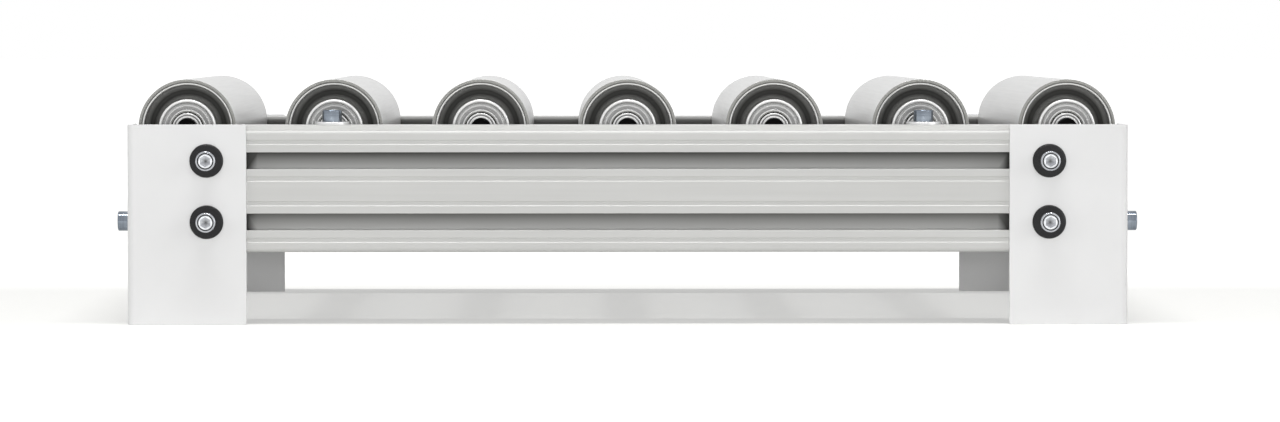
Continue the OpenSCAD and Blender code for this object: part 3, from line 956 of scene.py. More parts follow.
@dataclass
class SlottedProfile:
    """A drawn aluminium profile with T-slots in all four faces."""

    width: float
    height: float
    side_slots: tuple[float, ...]
    bores: tuple[float, ...]
    slot: Slot = field(default_factory=Slot)
    corner_round: float = 2.0 * MM
    bore_radius: float = 3.02 * MM
    chamber: Point | None = None
    shade_from: float = 0.6 * MM
    shade_reach: float = 4.0 * MM
    # Shares of the painted shade on each slot's lower side and in the lower slot
    lower_side: float = 0.02
    lower_slot: float = 0.38
    # Beyond this distance along the profile the slots lie in the legs' painted shadow
    shaded_beyond: float | None = None

    def faces(self) -> list[tuple[Vector, Vector, float, float, tuple[float, ...]]]:
        """Returns each face's outward and travel directions, distance, half length and slots."""
        half_w, half_h = self.width / 2, self.height / 2
        return [
            (Vector((0, 1)), Vector((1, 0)), half_h, half_w, (0.0,)),
            (Vector((1, 0)), Vector((0, -1)), half_w, half_h, self.side_slots),
            (Vector((0, -1)), Vector((-1, 0)), half_h, half_w, (0.0,)),
            (Vector((-1, 0)), Vector((0, 1)), half_w, half_h, self.side_slots),
        ]

    def on_faces(self, points: list[Point]) -> list[Point]:
        """Returns points of one slot repeated at every slot of the profile."""
        placed = []
        for out, travel, distance, _, centres in self.faces():
            for centre in centres:
                placed += [tuple(out * (distance + up) + travel * (centre + along)) for along, up in points]
        return placed

    def corners(self) -> list[Point]:
        """Returns the four outer corners."""
        return [(x * self.width / 2, y * self.height / 2) for x in SIDES for y in SIDES]

    def outline(self) -> list[Point]:
        """Returns the whole outline, face by face."""
        points = []
        for out, travel, distance, half, centres in self.faces():
            for centre in centres:
                points += [tuple(out * (distance + up) + travel * (centre + along))
                           for along, up in self.slot.across()]
            points.append(tuple(out * distance + travel * half))
        return points

    def make(self, name: str, length: float) -> Piece:
        """Builds the profile with its middle at the bench's origin and its length along Z.

        Args:
            name: the template's name.
            length: length of the profile.

        Returns:
            The template.
        """
        piece = trace(name, self.outline())
        round_corners(piece, self.corners(), self.corner_round, 6)
        round_corners(piece, self.on_faces(self.slot.lips()), self.slot.lip_round, 3)
        round_corners(piece, self.on_faces(self.slot.recess_corners()), self.slot.recess_round, 2)
        bpy.ops.mesh.select_all(action="SELECT")
        bpy.ops.mesh.delete(type="ONLY_FACE")
        for height in self.bores:
            bpy.ops.mesh.primitive_circle_add(vertices=32, radius=self.bore_radius, location=(0, height, 0))
        if self.chamber:
            bpy.ops.mesh.primitive_plane_add(size=1)
            bpy.ops.transform.resize(value=(*self.chamber, 1), center_override=(0, 0, 0))
            bpy.ops.mesh.bevel(offset=0.8 * MM, segments=3, affect="VERTICES")
            bpy.ops.mesh.delete(type="ONLY_FACE")
        bpy.ops.mesh.select_all(action="SELECT")
        bpy.ops.mesh.fill(use_beauty=True)
        return draw_out(piece, length, -length / 2)

    def mark_depth(self, piece: Piece) -> Piece:
        """Paints shade into the slots, darker with depth and towards their upper sides, where the lips keep
        light from above off them.
        """

        def amount(co: Vector) -> float:
            """Returns how much painted shade lies inside a slot at a corner of the profile."""
            depth = min(self.width / 2 - abs(co.x), self.height / 2 - abs(co.y))
            centre = min(self.side_slots, key=lambda slot: abs(co.y - slot))
            side = 1.0 if co.y > centre else self.lower_side
            level = 1.0 if centre >= 0 else self.lower_slot
            # Behind the legs the slots take the legs' painted shadow in full
            if self.shaded_beyond and abs(co.z) > self.shaded_beyond - SAME_PLACE:
                side = level = 1.0
            return side * level * (depth - self.shade_from) / self.shade_reach

        return shade(piece, amount)


@dataclass
class Rails:
    """The two side rails and the two cross members between them."""

    layout: Layout
    shop: PaintShop
    chamber: Point = (25.0 * MM, 8.4 * MM)
    key_hole: float = 7.0 * MM
    leg_shade: float = 5.0 * MM

    def rail(self) -> Piece:
        """Builds one rail on the bench."""
        place = self.layout
        half = place.slot_pitch / 2
        profile = SlottedProfile(
            width=place.rail_high.y - place.rail_low.y, height=place.rail_high.z - place.rail_low.z,
            side_slots=(-half, half), bores=(-half, half), chamber=self.chamber,
            shaded_beyond=abs(place.leg_high.x))
        piece = profile.make("rail_template", place.rail_length)
        low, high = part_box("cross_member_right")
        across = (low.x + high.x) / 2
        cut(piece, [hole_cutter(self.key_hole / 2, 2 * profile.width, Vector((0, -half, side * across)),
                                Vector((1, 0, 0))) for side in SIDES])
        # The faces are cut at each leg's edge and a little inside it, where the legs' painted shadow fades
        # in
        leg_edge = profile.shaded_beyond
        slice_across(piece, [side * (leg_edge - fade) for side in SIDES for fade in (0.0, self.leg_shade)])
        return finish_shape(profile.mark_depth(piece))

    def cross_member(self) -> Piece:
        """Builds one cross member on the bench."""
        low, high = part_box("cross_member_left")
        profile = SlottedProfile(width=high.x - low.x, height=high.z - low.z, side_slots=(0.0,),
                                 bores=(0.0,))
        return finish_shape(profile.mark_depth(profile.make("cross_member_template", high.y - low.y)))

    def build(self) -> None:
        """Places the rails and the cross members."""
        rail = self.rail()
        for name, side in (("rail_near", -1), ("rail_far", 1)):
            middle = Vector((0, side * self.layout.rail_y, self.layout.rail_middle_z))
            place = at(middle, ALONG_TRACK)
            self.shop.place(rail, f"{name}_profile", [place], "rail", "anodised_aluminium", name)
        member = self.cross_member()
        for name in ("cross_member_left", "cross_member_right"):
            low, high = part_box(name)
            place = at((low + high) / 2, ACROSS_TRACK)
            self.shop.place(member, f"{name}_profile", [place], "rail", "anodised_aluminium", name)
        scrap(rail, member)


# ---- Bent sheet ----


@dataclass
class BentSheet:
    """An angle bent from sheet, with its outer corner at the bench's origin."""

    flange_x: float
    flange_y: float
    thickness: float
    bend: float = 1.0 * MM
    bend_steps: int = 8

    def make(self, name: str, length: float, start: float = 0.0) -> Piece:
        """Builds the angle with its flanges along X and Y and its length along Z.

        Args:
            name: the template's name.
            length: length of the angle.
            start: where it starts along Z.

        Returns:
            The template.
        """
        t = self.thickness
        piece = trace(name, [(0, 0), (self.flange_x, 0), (self.flange_x, t), (t, t), (t, self.flange_y),
                             (0, self.flange_y)])
        round_corners(piece, [(0, 0)], t + self.bend, self.bend_steps)
        round_corners(piece, [(t, t)], self.bend, self.bend_steps)
        return draw_out(piece, length, start)


@dataclass
class Carriers:
    """The two angles with open notches that hold the axle ends."""

    layout: Layout
    shop: PaintShop
    thickness: float = 2.5 * MM
    axle_radius: float = 5.04 * MM
    notch_half: float = 4.55 * MM
    screw_hole: float = 6.6 * MM
    edge: float = 0.25 * MM
    arc_steps: int = 16

    def notch(self, along: float, drop: float) -> Piece:
        """Makes the cutter of one notch.

        Args:
            along: the axle's place along the carrier.
            drop: the axle's height against the carrier's top face.

        Returns:
            The cutter, across the carrier's upright flange.
        """
        lean = math.acos(self.notch_half / self.axle_radius)
        arc = [math.pi + lean + (math.pi - 2 * lean) * k / self.arc_steps for k in range(self.arc_steps + 1)]
        above = 2 * self.axle_radius
        points = [(-self.notch_half, above)]
        points += [(self.axle_radius * math.cos(a), self.axle_radius * math.sin(a)) for a in arc]
        points.append((self.notch_half, above))
        cutter = draw_out(trace("notch_cutter", points), 3 * self.thickness, -self.thickness)
        # The cutter's own X, Y and Z go along the carrier's Z, Y and X
        turned = Matrix(((0, 0, 1, 0), (0, 1, 0, 0), (-1, 0, 0, 0), (0, 0, 0, 1)))
        cutter.data.transform(at(Vector((0, drop, along)), turned))
        return cutter

    def template(self) -> Piece:
        """Builds the far carrier on the bench, with its inner corner at the origin."""
        low, high = self.layout.carrier_low, self.layout.carrier_high
        width, drop = high.y - low.y, high.z - low.z
        length = high.x - low.x
        sheet = BentSheet(width, drop, self.thickness)
        piece = sheet.make("carrier_template", length, -length / 2)
        # The upright flange hangs down
        piece.data.transform(Matrix.Diagonal((1, -1, 1, 1)))
        piece.data.flip_normals()
        cutters = []
        for number in range(1, self.layout.roller_count + 1):
            axle = self.layout.axle(number)
            cutters.append(self.notch(axle.x, axle.z - high.z))
        screw_low, screw_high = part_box("carrier_screws")
        reach = (screw_high.x - screw_low.x) / 2 - SCREW.head_radius
        middle = self.layout.rail_y + high.y
        for side in SIDES:
            place = Vector((middle, 0, side * reach))
            cutters.append(hole_cutter(self.screw_hole / 2, 8 * self.thickness, place, Vector((0, 1, 0))))
        cut(piece, cutters)
        ease_edges(piece, self.edge)
        # Painted shade on the upright flange's inner face and its bend, which lie in shade between the
        # rollers
        shade(piece, lambda co: (1.2 * self.thickness - co.x) / self.thickness)
        return finish_shape(piece)

    def build(self) -> None:
        """Places both carriers."""
        template = self.template()
        corner = Vector((0, -self.layout.carrier_high.y, self.layout.carrier_high.z))
        for name, turned in (("carrier_far", Matrix.Identity(4)), ("carrier_near", HALF_TURN)):
            place = turned @ at(corner, ALONG_TRACK)
            self.shop.place(template, f"{name}_angle", [place], "carrier", "anodised_aluminium", name)
        scrap(template)


@dataclass
class Legs:
    """The four angle legs."""

    layout: Layout
    shop: PaintShop
    thickness: float = 2.5 * MM
    screw_inset: float = 40.0 * MM
    hole: float = 6.6 * MM
    edge: float = 0.3 * MM

    def screw_rows(self) -> tuple[float, float]:
        """Returns the heights of the lower and the upper screws."""
        middle, half = self.layout.rail_middle_z, self.layout.slot_pitch / 2
        return middle - half, middle + half

    def template(self) -> Piece:
        """Builds the near left leg on the bench, with its outer corner at the origin."""
        low, high = self.layout.leg_low, self.layout.leg_high
        sheet = BentSheet(high.x - low.x, high.y - low.y, self.thickness)
        piece = sheet.make("leg_template", high.z - low.z)
        lower, upper = self.screw_rows()
        across = -self.layout.rail_y - low.y
        holes = (((self.screw_inset, 0, lower), (0, 1, 0)), ((self.screw_inset, 0, upper), (0, 1, 0)),
                 ((0, across, lower), (1, 0, 0)))
        cut(piece, [hole_cutter(self.hole / 2, 4 * self.thickness, Vector(middle), Vector(along))
                    for middle, along in holes])
        ease_edges(piece, self.edge)
        return finish_shape(piece)

    def build(self) -> None:
        """Places the four legs, two of them mirrored."""
        template = self.template()
        corner = at(self.layout.leg_low)
        mirror_x = Matrix.Diagonal((-1, 1, 1, 1))
        mirror_y = Matrix.Diagonal((1, -1, 1, 1))
        for name, turned in (("leg_near_left", Matrix.Identity(4)), ("leg_near_right", mirror_x),
                             ("leg_far_left", mirror_y), ("leg_far_right", mirror_x @ mirror_y)):
            self.shop.place(template, f"{name}_angle", [turned @ corner], "leg", "coated_leg_sheet", name)
        scrap(template)


# ---- Fasteners ----


@dataclass(frozen=True)
class ScrewShape:
    """Sizes of a socket head screw."""

    head_radius: float = 5.0 * MM
    head_height: float = 6.0 * MM
    head_edge: float = 0.6 * MM
    foot_edge: float = 0.2 * MM
    ring_edge: float = 0.06 * MM
    key_edge: float = 0.12 * MM
    bore_radius: float = 1.3 * MM
    shank_radius: float = 3.0 * MM
    ring_inner: float = 3.55 * MM
    ring_outer: float = 4.15 * MM
    ring_depth: float = 0.18 * MM
    socket_flats: float = 5.0 * MM
    socket_depth: float = 2.6 * MM
    socket_point: float = 1.0 * MM

    def make(self, name: str, length: float, head: float | None = None) -> Piece:
        """Builds a screw whose head stands on the bench and whose shank hangs below it.

        Args:
            name: the template's name.
            length: length of the shank.
            head: height of the head, where it is a low one.

        Returns:
            The template.
        """
        top = head or self.head_height
        r, s = self.head_radius, self.shank_radius
        tip = s - 0.5 * MM
        points = [
            (0, top), (self.ring_inner, top), (self.ring_inner, top - self.ring_depth),
            (self.ring_outer, top - self.ring_depth), (self.ring_outer, top),
            (r, top), (r, 0), (s, 0), (s, 2 * tip - s - length + s - tip), (tip, -length), (0, -length),
        ]
        rounds = (([(r, top)], self.head_edge, 4), ([(r, 0)], self.foot_edge, 2),
                  (points[1:5], self.ring_edge, 2))
        piece = cut(turned_solid(name, points, rounds, 64), [self.socket_cutter(top)])
        ease_edges(piece, self.key_edge, math.radians(55))
        groove = (self.ring_inner + self.ring_outer) / 2
        half = (self.ring_outer - self.ring_inner) / 2
        point = top - self.socket_depth - 0.4 * self.socket_point

        def marked(co: Vector) -> float:
            """Returns 1 in the head's turned groove and in the socket's drill point, where shade is painted.
            """
            out = math.hypot(co.x, co.y)
            in_groove = abs(out - groove) < 1.1 * half and top - 2 * self.ring_depth < co.z < top - 0.04 * MM
            return float(in_groove or (out < self.bore_radius and 0 < co.z < point))

        # The groove and the drill point take painted shade
        shade(piece, marked)
        return finish_shape(piece)

    def socket_cutter(self, top: float) -> Piece:
        """Makes the hexagonal bar with a drill point that cuts the key socket."""
        clear_selection()
        radius, floor = self.socket_flats / math.sqrt(3), top - self.socket_depth
        height = 2 * self.socket_depth
        bpy.ops.mesh.primitive_cylinder_add(vertices=6, radius=radius, depth=height,
                                            location=(0, 0, floor + height / 2))
        cutter = bpy.context.active_object
        bpy.ops.object.transform_apply(location=True, rotation=True, scale=True)
        pick(cutter, Element.FACE,
             lambda f: f.normal.z < -0.9 and abs(f.calc_center_median().z - floor) < SAME_PLACE)
        bpy.ops.mesh.inset(thickness=0.35 * MM)
        bpy.ops.mesh.inset(thickness=1.2 * MM)
        bpy.ops.transform.translate(value=(0, 0, -0.8 * self.socket_point))
        bpy.ops.mesh.merge(type="CENTER")
        bpy.ops.object.mode_set(mode="OBJECT")
        return cutter


SCREW = ScrewShape()


@dataclass
class Fasteners:
    """Screws and washers on the legs, the rail ends and the carriers."""

    layout: Layout
    legs: Legs
    shop: PaintShop
    dark_radius: float = 8.5 * MM
    dark_height: float = 1.8 * MM
    dark_land: float = 5.3 * MM
    bright_radius: float = 9.0 * MM
    bright_height: float = 1.6 * MM
    hole_radius: float = 3.3 * MM
    crown_edge: float = 0.5 * MM
    rim_edge: float = 0.25 * MM
    land_edge: float = 0.4 * MM
    punched_edge: float = 0.15 * MM
    screw_reach: float = 7.8 * MM
    end_grip: float = 13.5 * MM

    def dark_washer(self) -> Piece:
        """Builds a coned black washer that lies on the bench."""
        h, r = self.dark_height, self.dark_radius
        crown = (r - h / 3, h * 2 / 3)
        land = (self.dark_land, h)
        points = [(self.hole_radius, 0), (r, 0), (r, h / 3), crown, land, (self.hole_radius, h)]
        rounds = (([crown], self.crown_edge, 4), ([(r, h / 3)], self.rim_edge, 3),
                  ([land], self.land_edge, 3))
        return finish_shape(turned_solid("dark_washer_template", points, rounds, 72))

    def bright_washer(self) -> Piece:
        """Builds a flat bright washer with one punched and one broken edge."""
        h, r = self.bright_height, self.bright_radius
        points = [(self.hole_radius, 0), (r, 0), (r, h), (self.hole_radius, h)]
        rounds = (([(r, h)], self.land_edge, 4), ([(r, 0), (self.hole_radius, h)], self.punched_edge, 2))
        return finish_shape(turned_solid("bright_washer_template", points, rounds, 72))

    def leg_places(self, lift: float) -> list[Matrix]:
        """Returns the places of the leg screws, lifted off the rails' outer faces."""
        across = abs(self.layout.leg_low.x) - self.legs.screw_inset
        out = self.layout.rail_outer_y + lift
        return [at(Vector((x * across, y * out, height)), turned_to(Vector((0, y, 0))))
                for x in SIDES for y in SIDES for height in self.legs.screw_rows()]

    def carrier_places(self, lift: float) -> list[Matrix]:
        """Returns the places of the carrier screws, lifted off the rails' top faces."""
        low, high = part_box("carrier_washers")
        across = (high.x - low.x) / 2 - self.bright_radius
        top = self.layout.rail_high.z + lift
        return [at(Vector((x * across, y * self.layout.rail_y, top))) for x in SIDES for y in SIDES]

    def end_places(self) -> list[Matrix]:
        """Returns the places of the end screws."""
        out = abs(self.layout.leg_low.x)
        low_row = self.legs.screw_rows()[0]
        return [at(Vector((x * out, y * self.layout.rail_y, low_row)), turned_to(Vector((x, 0, 0))))
                for x in SIDES for y in SIDES]

    def build(self) -> None:
        """Places every screw and washer."""
        sheet = self.legs.thickness
        carrier = self.layout.carrier_high.z - self.layout.rail_high.z
        leg_screw = SCREW.make("leg_screw_template", self.dark_height + sheet + self.screw_reach)
        top_screw = SCREW.make("carrier_screw_template", self.bright_height + carrier + self.screw_reach)
        end_screw = SCREW.make("end_screw_template", sheet + self.end_grip)
        dark, bright = self.dark_washer(), self.bright_washer()
        rows = (
            (leg_screw, "leg_socket_screws", self.leg_places(sheet + self.dark_height), "zinc", "zinc_screw",
             "leg_screws"),
            (dark, "leg_coned_washers", self.leg_places(sheet), "black", "black_washer", "leg_washers"),
            (end_screw, "end_socket_screws", self.end_places(), "zinc_painted_dim", "zinc_screw", "end_screws"),
            (top_screw, "carrier_socket_screws", self.carrier_places(carrier + self.bright_height), "zinc_painted_dim",
             "zinc_screw", "carrier_screws"),
            (bright, "carrier_flat_washers", self.carrier_places(carrier), "washer", "zinc_washer",
             "carrier_washers"),
        )
        for row in rows:
            self.shop.place(*row)
        scrap(leg_screw, top_screw, end_screw, dark, bright)


# ---- Rollers ----


@dataclass
class Bearing:
    """Sizes of the deep-groove ball bearing in each roller end, and its rings."""

    bore: float = 10.0 * MM
    outside: float = 26.0 * MM
    width: float = 8.0 * MM
    ball: float = 4.86 * MM
    inner_land: float = 7.7 * MM
    outer_land: float = 10.3 * MM
    shield_inner: float = 8.8 * MM
    shield_seat: float = 11.8 * MM
    shield_thickness: float = 0.35 * MM
    shield_inset: float = 0.3 * MM
    edge: float = 0.4 * MM
    seat_edge: float = 0.2 * MM
    play: float = 0.01 * MM
    dip: float = 0.16 * MM
    dip_from: float = 0.9 * MM
    dip_to: float = 11.1 * MM
    dip_edge: float = 0.1 * MM
    rolled_edge: float = 0.12 * MM
    groove_steps: int = 10

    def groove(self, land: float, inner: bool) -> list[Point]:
        """Returns the ball groove's arc, from its lower to its upper end.

        Args:
            land: radius of the ring's land.
            inner: whether the groove is in the inner ring.

        Returns:
            Points as radius and height.
        """
        pitch = (self.bore + self.outside) / 4
        radius = self.ball / 2
        half = math.acos(abs(land - pitch) / radius)
        middle = math.pi if inner else 0.0
        steps = [-half + 2 * half * k / self.groove_steps for k in range(self.groove_steps + 1)]
        if inner:
            steps.reverse()
        return [(pitch + radius * math.cos(middle + a), radius * math.sin(middle + a)) for a in steps]

    def inner_ring(self) -> Piece:
        """Builds the inner ring about the bench's Z axis, with its middle at the origin."""
        half, bore, land = self.width / 2, self.bore / 2, self.inner_land
        corners = [(bore, -half), (land, -half), (land, half), (bore, half)]
        points = corners[:2] + self.groove(land, True) + corners[2:]
        return turned_solid("inner_ring_template", points, [(corners, self.edge, 3)], 80)

    def outer_ring(self) -> Piece:
        """Builds the outer ring with a seat for a shield on each side."""
        half, rim, land, seat = self.width / 2, self.outside / 2, self.outer_land, self.shield_seat
        shoulder = half - self.shield_inset - self.shield_thickness - self.play
        groove = self.groove(land, False)
        points = [(seat, -half), (rim, -half), (rim, half), (seat, half), (seat, shoulder), (land, shoulder)]
        points += list(reversed(groove)) + [(land, -shoulder), (seat, -shoulder)]
        rounds = (([(rim, -half), (rim, half)], self.edge, 3),
                  ([(seat, -half), (seat, half)], self.seat_edge, 2))
        return turned_solid("outer_ring_template", points, rounds, 96)

    def shield(self) -> Piece:
        """Builds the upper shield: pressed sheet with a shallow step and a rolled outer edge."""
        top = self.width / 2 - self.shield_inset
        t = self.shield_thickness
        out, step, inner, dip = self.shield_seat - self.play, self.dip_to, self.shield_inner, self.dip
        points = [
            (inner, top - t), (out, top - t), (out, top), (step + dip, top), (step, top - dip),
            (inner + self.dip_from, top - dip), (inner + self.dip_from - dip, top), (inner, top),
        ]
        rounds = (([points[2], points[7]], self.rolled_edge, 3), (points[3:7], self.dip_edge, 2))
        return turned_solid("shield_template", points, rounds, 96)


@dataclass
class RollerSet:
    """The seven tube rollers: tubes, end cups, bearings and their standing axles."""

    layout: Layout
    shop: PaintShop
    bearing: Bearing = field(default_factory=Bearing)
    tube_wall: float = 1.5 * MM
    tube_edge: float = 0.35 * MM
    rim: float = 1.3 * MM
    rim_inset: float = 0.5 * MM
    hub: float = 1.7 * MM
    floor: float = 1.3 * MM
    shoulder: float = 1.2 * MM
    dish_round: float = 0.48
    cup_round: float = 2.5 * MM
    bearing_inset: float = 0.6 * MM
    seat_gap: float = 0.01 * MM
    axle_flat: float = 9.0 * MM
    axle_edge: float = 0.4 * MM
    flat_length: float = 2.7 * MM
    clip_depth: float = 0.3 * MM
    clip_width: float = 1.0 * MM

    @property
    def tube_radius(self) -> float:
        """Outside radius of a tube."""
        low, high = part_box("roller_tube_1")
        return (high.x - low.x) / 2

    @property
    def tube_half(self) -> float:
        """Half the length of a tube."""
        low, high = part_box("roller_tube_1")
        return (high.y - low.y) / 2

    def tube(self) -> Piece:
        """Builds the tube about the bench's Z axis."""
        out, half = self.tube_radius, self.tube_half
        inside = out - self.tube_wall
        points = [(inside, -half), (out, -half), (out, half), (inside, half)]
        piece = turned_solid("tube_template", points, [(points, self.tube_edge, 3)], 128)
        # Painted shade on the tube's end faces, beside the cups
        shade(piece, lambda co: float(abs(co.z) > half - self.tube_edge / 3))
        return finish_shape(piece)

    def cup(self) -> Piece:
        """Builds an end cup whose mouth is level with the bench, dished downwards."""
        back = self.bearing_inset + self.bearing.width
        out = self.tube_radius - self.tube_wall - self.seat_gap
        hub_in = self.bearing.outside / 2 + self.seat_gap
        hub_out = hub_in + self.hub
        lip = hub_in - self.shoulder
        mouth, hub_top = -self.rim_inset, -self.bearing_inset / 2
        points = [
            (out, mouth), (out - self.rim, mouth), (out - self.rim, -back), (hub_out, -back),
            (hub_out, hub_top), (hub_in, hub_top), (hub_in, -back), (lip, -back),
            (lip, -back - self.floor), (out, -back - self.floor),
        ]
        rounds = (
            (points[0:2], FULL_ROUND * self.rim, 5),
            (points[2:4], self.dish_round * (out - self.rim - hub_out), 10),
            (points[4:6], FULL_ROUND * self.hub, 5), (points[9:10], self.cup_round, 5),
        )
        piece = turned_solid("cup_template", points, rounds, 128)
        # Painted shade on the rim's outer edge, in the crease where it meets the tube
        shade(piece, lambda co: float(math.hypot(co.x, co.y) > out - 0.35 * self.rim))
        return finish_shape(piece)

    def axle(self) -> Piece:
        """Builds an axle with flats at both ends and grooves for its retaining rings."""
        low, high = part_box("axle_1")
        half, r = (high.y - low.y) / 2, (high.x - low.x) / 2
        clip_at = self.tube_half - self.bearing_inset - self.bearing.width
        deep = r - self.clip_depth
        side = [(0, half), (r, half), (r, clip_at), (deep, clip_at),
                (deep, clip_at - self.clip_width), (r, clip_at - self.clip_width)]
        points = side + [(radius, -along) for radius, along in reversed(side)]
        piece = turned_solid("axle_template", points, [([(r, half), (r, -half)], self.axle_edge, 3)], 64)
        cutters = []
        for end in SIDES:
            for across in SIDES:
                clear_selection()
                bpy.ops.mesh.primitive_cube_add(
                    size=1, scale=(2 * r, 4 * r, 2 * self.flat_length),
                    location=(across * (self.axle_flat / 2 + r), 0, end * half))
                cutters.append(bpy.context.active_object)
        cut(piece, cutters)
        ease_edges(piece, 0.1 * MM, math.radians(60))
        return finish_shape(piece)

    def ends(self, number: int, depth: float) -> list[Matrix]:
        """Returns the places at both ends of a roller, with the bench's Z pointing outwards.

        Args:
            number: the roller's number.
            depth: distance behind the tube's end.

        Returns:
            The placing at the near and the far end.
        """
        middle = self.layout.axle(number)
        return [at(middle + Vector((0, side * (self.tube_half - depth), 0)), turned_to(Vector((0, side, 0))))
                for side in SIDES]

    def build(self) -> None:
        """Places the seven rollers."""
        tube, cup, axle = self.tube(), self.cup(), self.axle()
        inner = finish_shape(self.bearing.inner_ring())
        outer = self.bearing.outer_ring()
        shield = self.bearing.shield()
        other = put(shield, "shield_back", Matrix.Diagonal((1, 1, -1, 1)))
        work_on(outer)
        shield.select_set(True)
        other.select_set(True)
        bpy.ops.object.join()
        finish_shape(outer)
        depth = self.bearing_inset + self.bearing.width / 2
        inner_places = []
        for number in range(1, self.layout.roller_count + 1):
            middle = self.layout.axle(number)
            body = f"roller_{number}"
            lying = at(middle, turned_to(Vector((0, -1, 0))))
            rows = (
                (tube, f"tube_{number}", [lying], "tube", "roller_tube", f"roller_tube_{number}", body),
                (cup, f"pressed_cups_{number}", self.ends(number, 0.0), "cup", "pressed_cup",
                 f"end_cups_{number}", body),
                (outer, f"bearing_outers_{number}", self.ends(number, depth), "bearing", "bearing_steel",
                 f"outer_rings_{number}", body),
                (axle, f"axle_bar_{number}", [lying], "axle", "blackened_axle", f"axle_{number}", "frame"),
            )
            for row in rows:
                self.shop.place(*row)
            inner_places += self.ends(number, depth)
        self.shop.place(inner, "bearing_inners", inner_places, "inner", "bearing_steel",
                        "bearing_inner_rings")
        scrap(tube, cup, axle, inner, outer)


@dataclass
class HiddenStock:
    """The nodes whose shapes stay as they are: small parts inside the slots and the rollers."""

    shop: PaintShop

    def build(self) -> None:
        """Gives each of them its finish."""
        for node in ("leg_slot_nuts", "carrier_slot_nuts"):
            self.shop.coat_node(node, "nut")
        self.shop.coat_node("cross_screws", "nut")
        self.shop.coat_node("axle_clips", "spring")
        for node in sorted(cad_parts):
            if node.startswith("ball_cages_"):
                self.shop.coat_node(node, "balls")


# ---- Studio ----


@dataclass(frozen=True)
class Lamp:
    """A soft rectangular lamp that faces the object from a bearing, a height angle and a distance."""

    name: str
    bearing: float
    rise: float
    distance: float
    size: Point
    power: float
    mirrored: bool = True

    def hang(self) -> None:
        """Hangs the lamp."""
        turned, lifted = math.radians(self.bearing), math.radians(self.rise)
        level = self.distance * math.cos(lifted)
        height = self.distance * math.sin(lifted)
        place = Vector((level * math.sin(turned), -level * math.cos(turned), height))
        bpy.ops.object.light_add(type="AREA", location=place)
        lamp = bpy.context.active_object
        lamp.name = self.name
        lamp.data.shape = "RECTANGLE"
        lamp.data.size, lamp.data.size_y = self.size
        lamp.data.energy = self.power
        lamp.visible_glossy = self.mirrored
        lamp.rotation_euler = (-place).to_track_quat("-Z", "Y").to_euler()


LAMPS = (
    Lamp("overhead_lamp", 0, 77, 3.0, (2.0, 0.14), 52.0),
    Lamp("front_lamp", 0, 30, 3.0, (2.2, 0.9), 4.0, mirrored=False),
    Lamp("low_lamp", 0, 3.0, 3.3, (2.0, 0.25), 26.0, mirrored=False),
    Lamp("right_lamp", 60, 16, 2.5, (1.0, 0.9), 9.5),
    Lamp("left_lamp", -60, 16, 2.5, (1.5, 0.9), 8.0, mirrored=False),
)


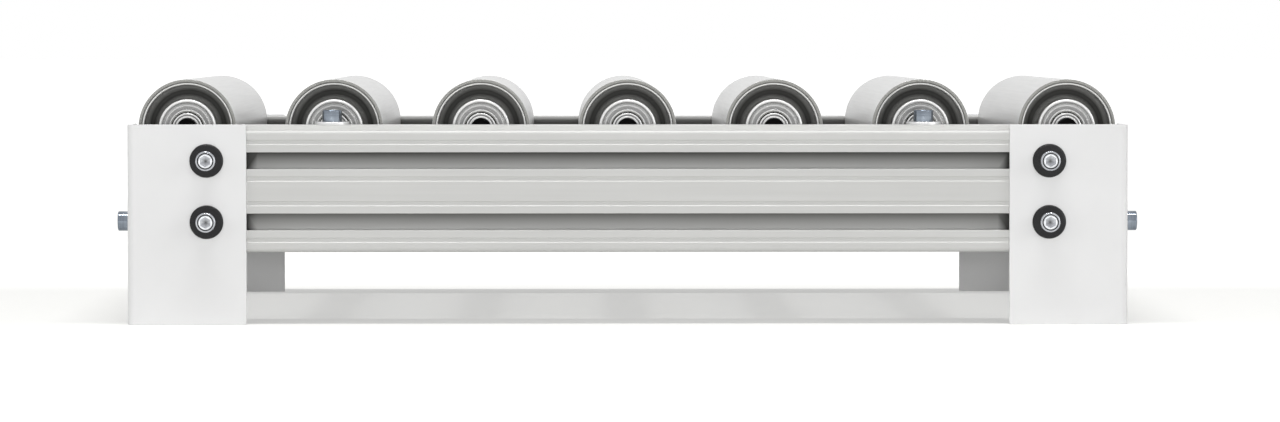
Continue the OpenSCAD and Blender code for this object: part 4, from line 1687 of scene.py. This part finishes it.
@dataclass
class Studio:
    """Camera, lamps, floor and surroundings."""

    camera_place: tuple[float, float, float] = (-0.0262, -2.6152, 0.1445)
    look_right: float = 0.01308
    look_down: float = 0.03551
    lens: float = 136.9
    sensor: float = 36.0
    surroundings: float = 0.30
    floor_colour: tuple[float, float, float] = (0.66, 0.66, 0.64)
    floor_size: float = 60.0
    shadow_glow: float = 0.38
    near_glow: float = 0.62
    footprint: float = 0.17
    sweep: float = 0.15
    white_from: float = 0.6
    white_to: float = 2.0

    def camera(self) -> None:
        """Places the camera and makes it the scene's."""
        turned = (math.pi / 2 - self.look_down, 0, -self.look_right)
        bpy.ops.object.camera_add(location=self.camera_place, rotation=turned)
        camera = bpy.context.active_object
        camera.name = "studio_camera"
        camera.data.sensor_width = self.sensor
        camera.data.lens = self.lens
        camera.data.clip_start = 0.1
        camera.data.clip_end = 2 * self.floor_size
        bpy.context.scene.camera = camera

    def seen(self, wiring: Wiring) -> Socket:
        """Returns 1 for what the camera sees straight, in a gloss or through glass."""
        path = wiring.add("ShaderNodeLightPath").outputs
        first = wiring.sum("MAXIMUM", path["Is Camera Ray"], path["Is Glossy Ray"])
        return wiring.sum("MAXIMUM", first, path["Is Transmission Ray"])

    def floor(self) -> None:
        """Lays the pale floor, which turns white away from the object's shadow."""
        bpy.ops.mesh.primitive_plane_add(size=self.floor_size)
        floor = bpy.context.active_object
        floor.name = "studio_floor"
        material = bpy.data.materials.new("studio_floor")
        material.use_nodes = True
        wiring = Wiring(material.node_tree)
        wiring.tree.nodes.clear()
        out = wiring.add("ShaderNodeOutputMaterial")
        matt = wiring.add("ShaderNodeBsdfDiffuse")
        matt.inputs["Color"].default_value = (*self.floor_colour, 1)
        glow = wiring.add("ShaderNodeEmission")
        place = wiring.add("ShaderNodeTexCoord").outputs["Object"]
        depth = wiring.sum("ABSOLUTE", wiring.parts(place)["Y"])
        swept = self.footprint + self.sweep
        beside = wiring.spread(depth, self.footprint, swept, self.shadow_glow, self.near_glow)
        far = wiring.spread(wiring.from_axis(place), self.white_from, self.white_to)
        lift = wiring.sum("MAXIMUM", beside, far)
        wiring.link(wiring.sum("MULTIPLY", lift, self.seen(wiring)), glow.inputs["Strength"])
        both = wiring.add("ShaderNodeAddShader")
        wiring.link(matt.outputs[0], both.inputs[0])
        wiring.link(glow.outputs[0], both.inputs[1])
        wiring.link(both.outputs[0], out.inputs["Surface"])
        floor.data.materials.append(material)

    def world(self) -> None:
        """Surrounds the object with white that lights it at a plain level."""
        world = bpy.data.worlds.new("studio")
        bpy.context.scene.world = world
        world.use_nodes = True
        wiring = Wiring(world.node_tree)
        wiring.tree.nodes.clear()
        out = wiring.add("ShaderNodeOutputWorld")
        light = wiring.add("ShaderNodeBackground")
        light.inputs["Color"].default_value = (1, 1, 1, 1)
        strength = wiring.spread(self.seen(wiring), 0, 1, self.surroundings, 1.0)
        wiring.link(strength, light.inputs["Strength"])
        wiring.link(light.outputs[0], out.inputs["Surface"])

    def build(self) -> None:
        """Sets up the whole studio."""
        bpy.context.scene.view_settings.view_transform = "Standard"
        self.world()
        self.floor()
        for lamp in LAMPS:
            lamp.hang()


def corners(box: tuple[Vector, Vector]) -> list[list[float]]:
    """Returns a box's two corners as plain lists."""
    return [list(corner) for corner in box]


def main() -> None:
    """Builds every sub-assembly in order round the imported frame."""
    logging.basicConfig(level=logging.INFO, format="%(name)s: %(message)s")
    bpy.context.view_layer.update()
    studio = Studio()
    studio.camera()
    layout = Layout()
    shop = PaintShop()
    legs = Legs(layout, shop)
    for assembly in (Rails(layout, shop), Carriers(layout, shop), legs, Fasteners(layout, legs, shop),
                     RollerSet(layout, shop), HiddenStock(shop)):
        assembly.build()
        log.info("%s done", type(assembly).__name__)
    studio.build()


if __name__ == "__main__":
    main()
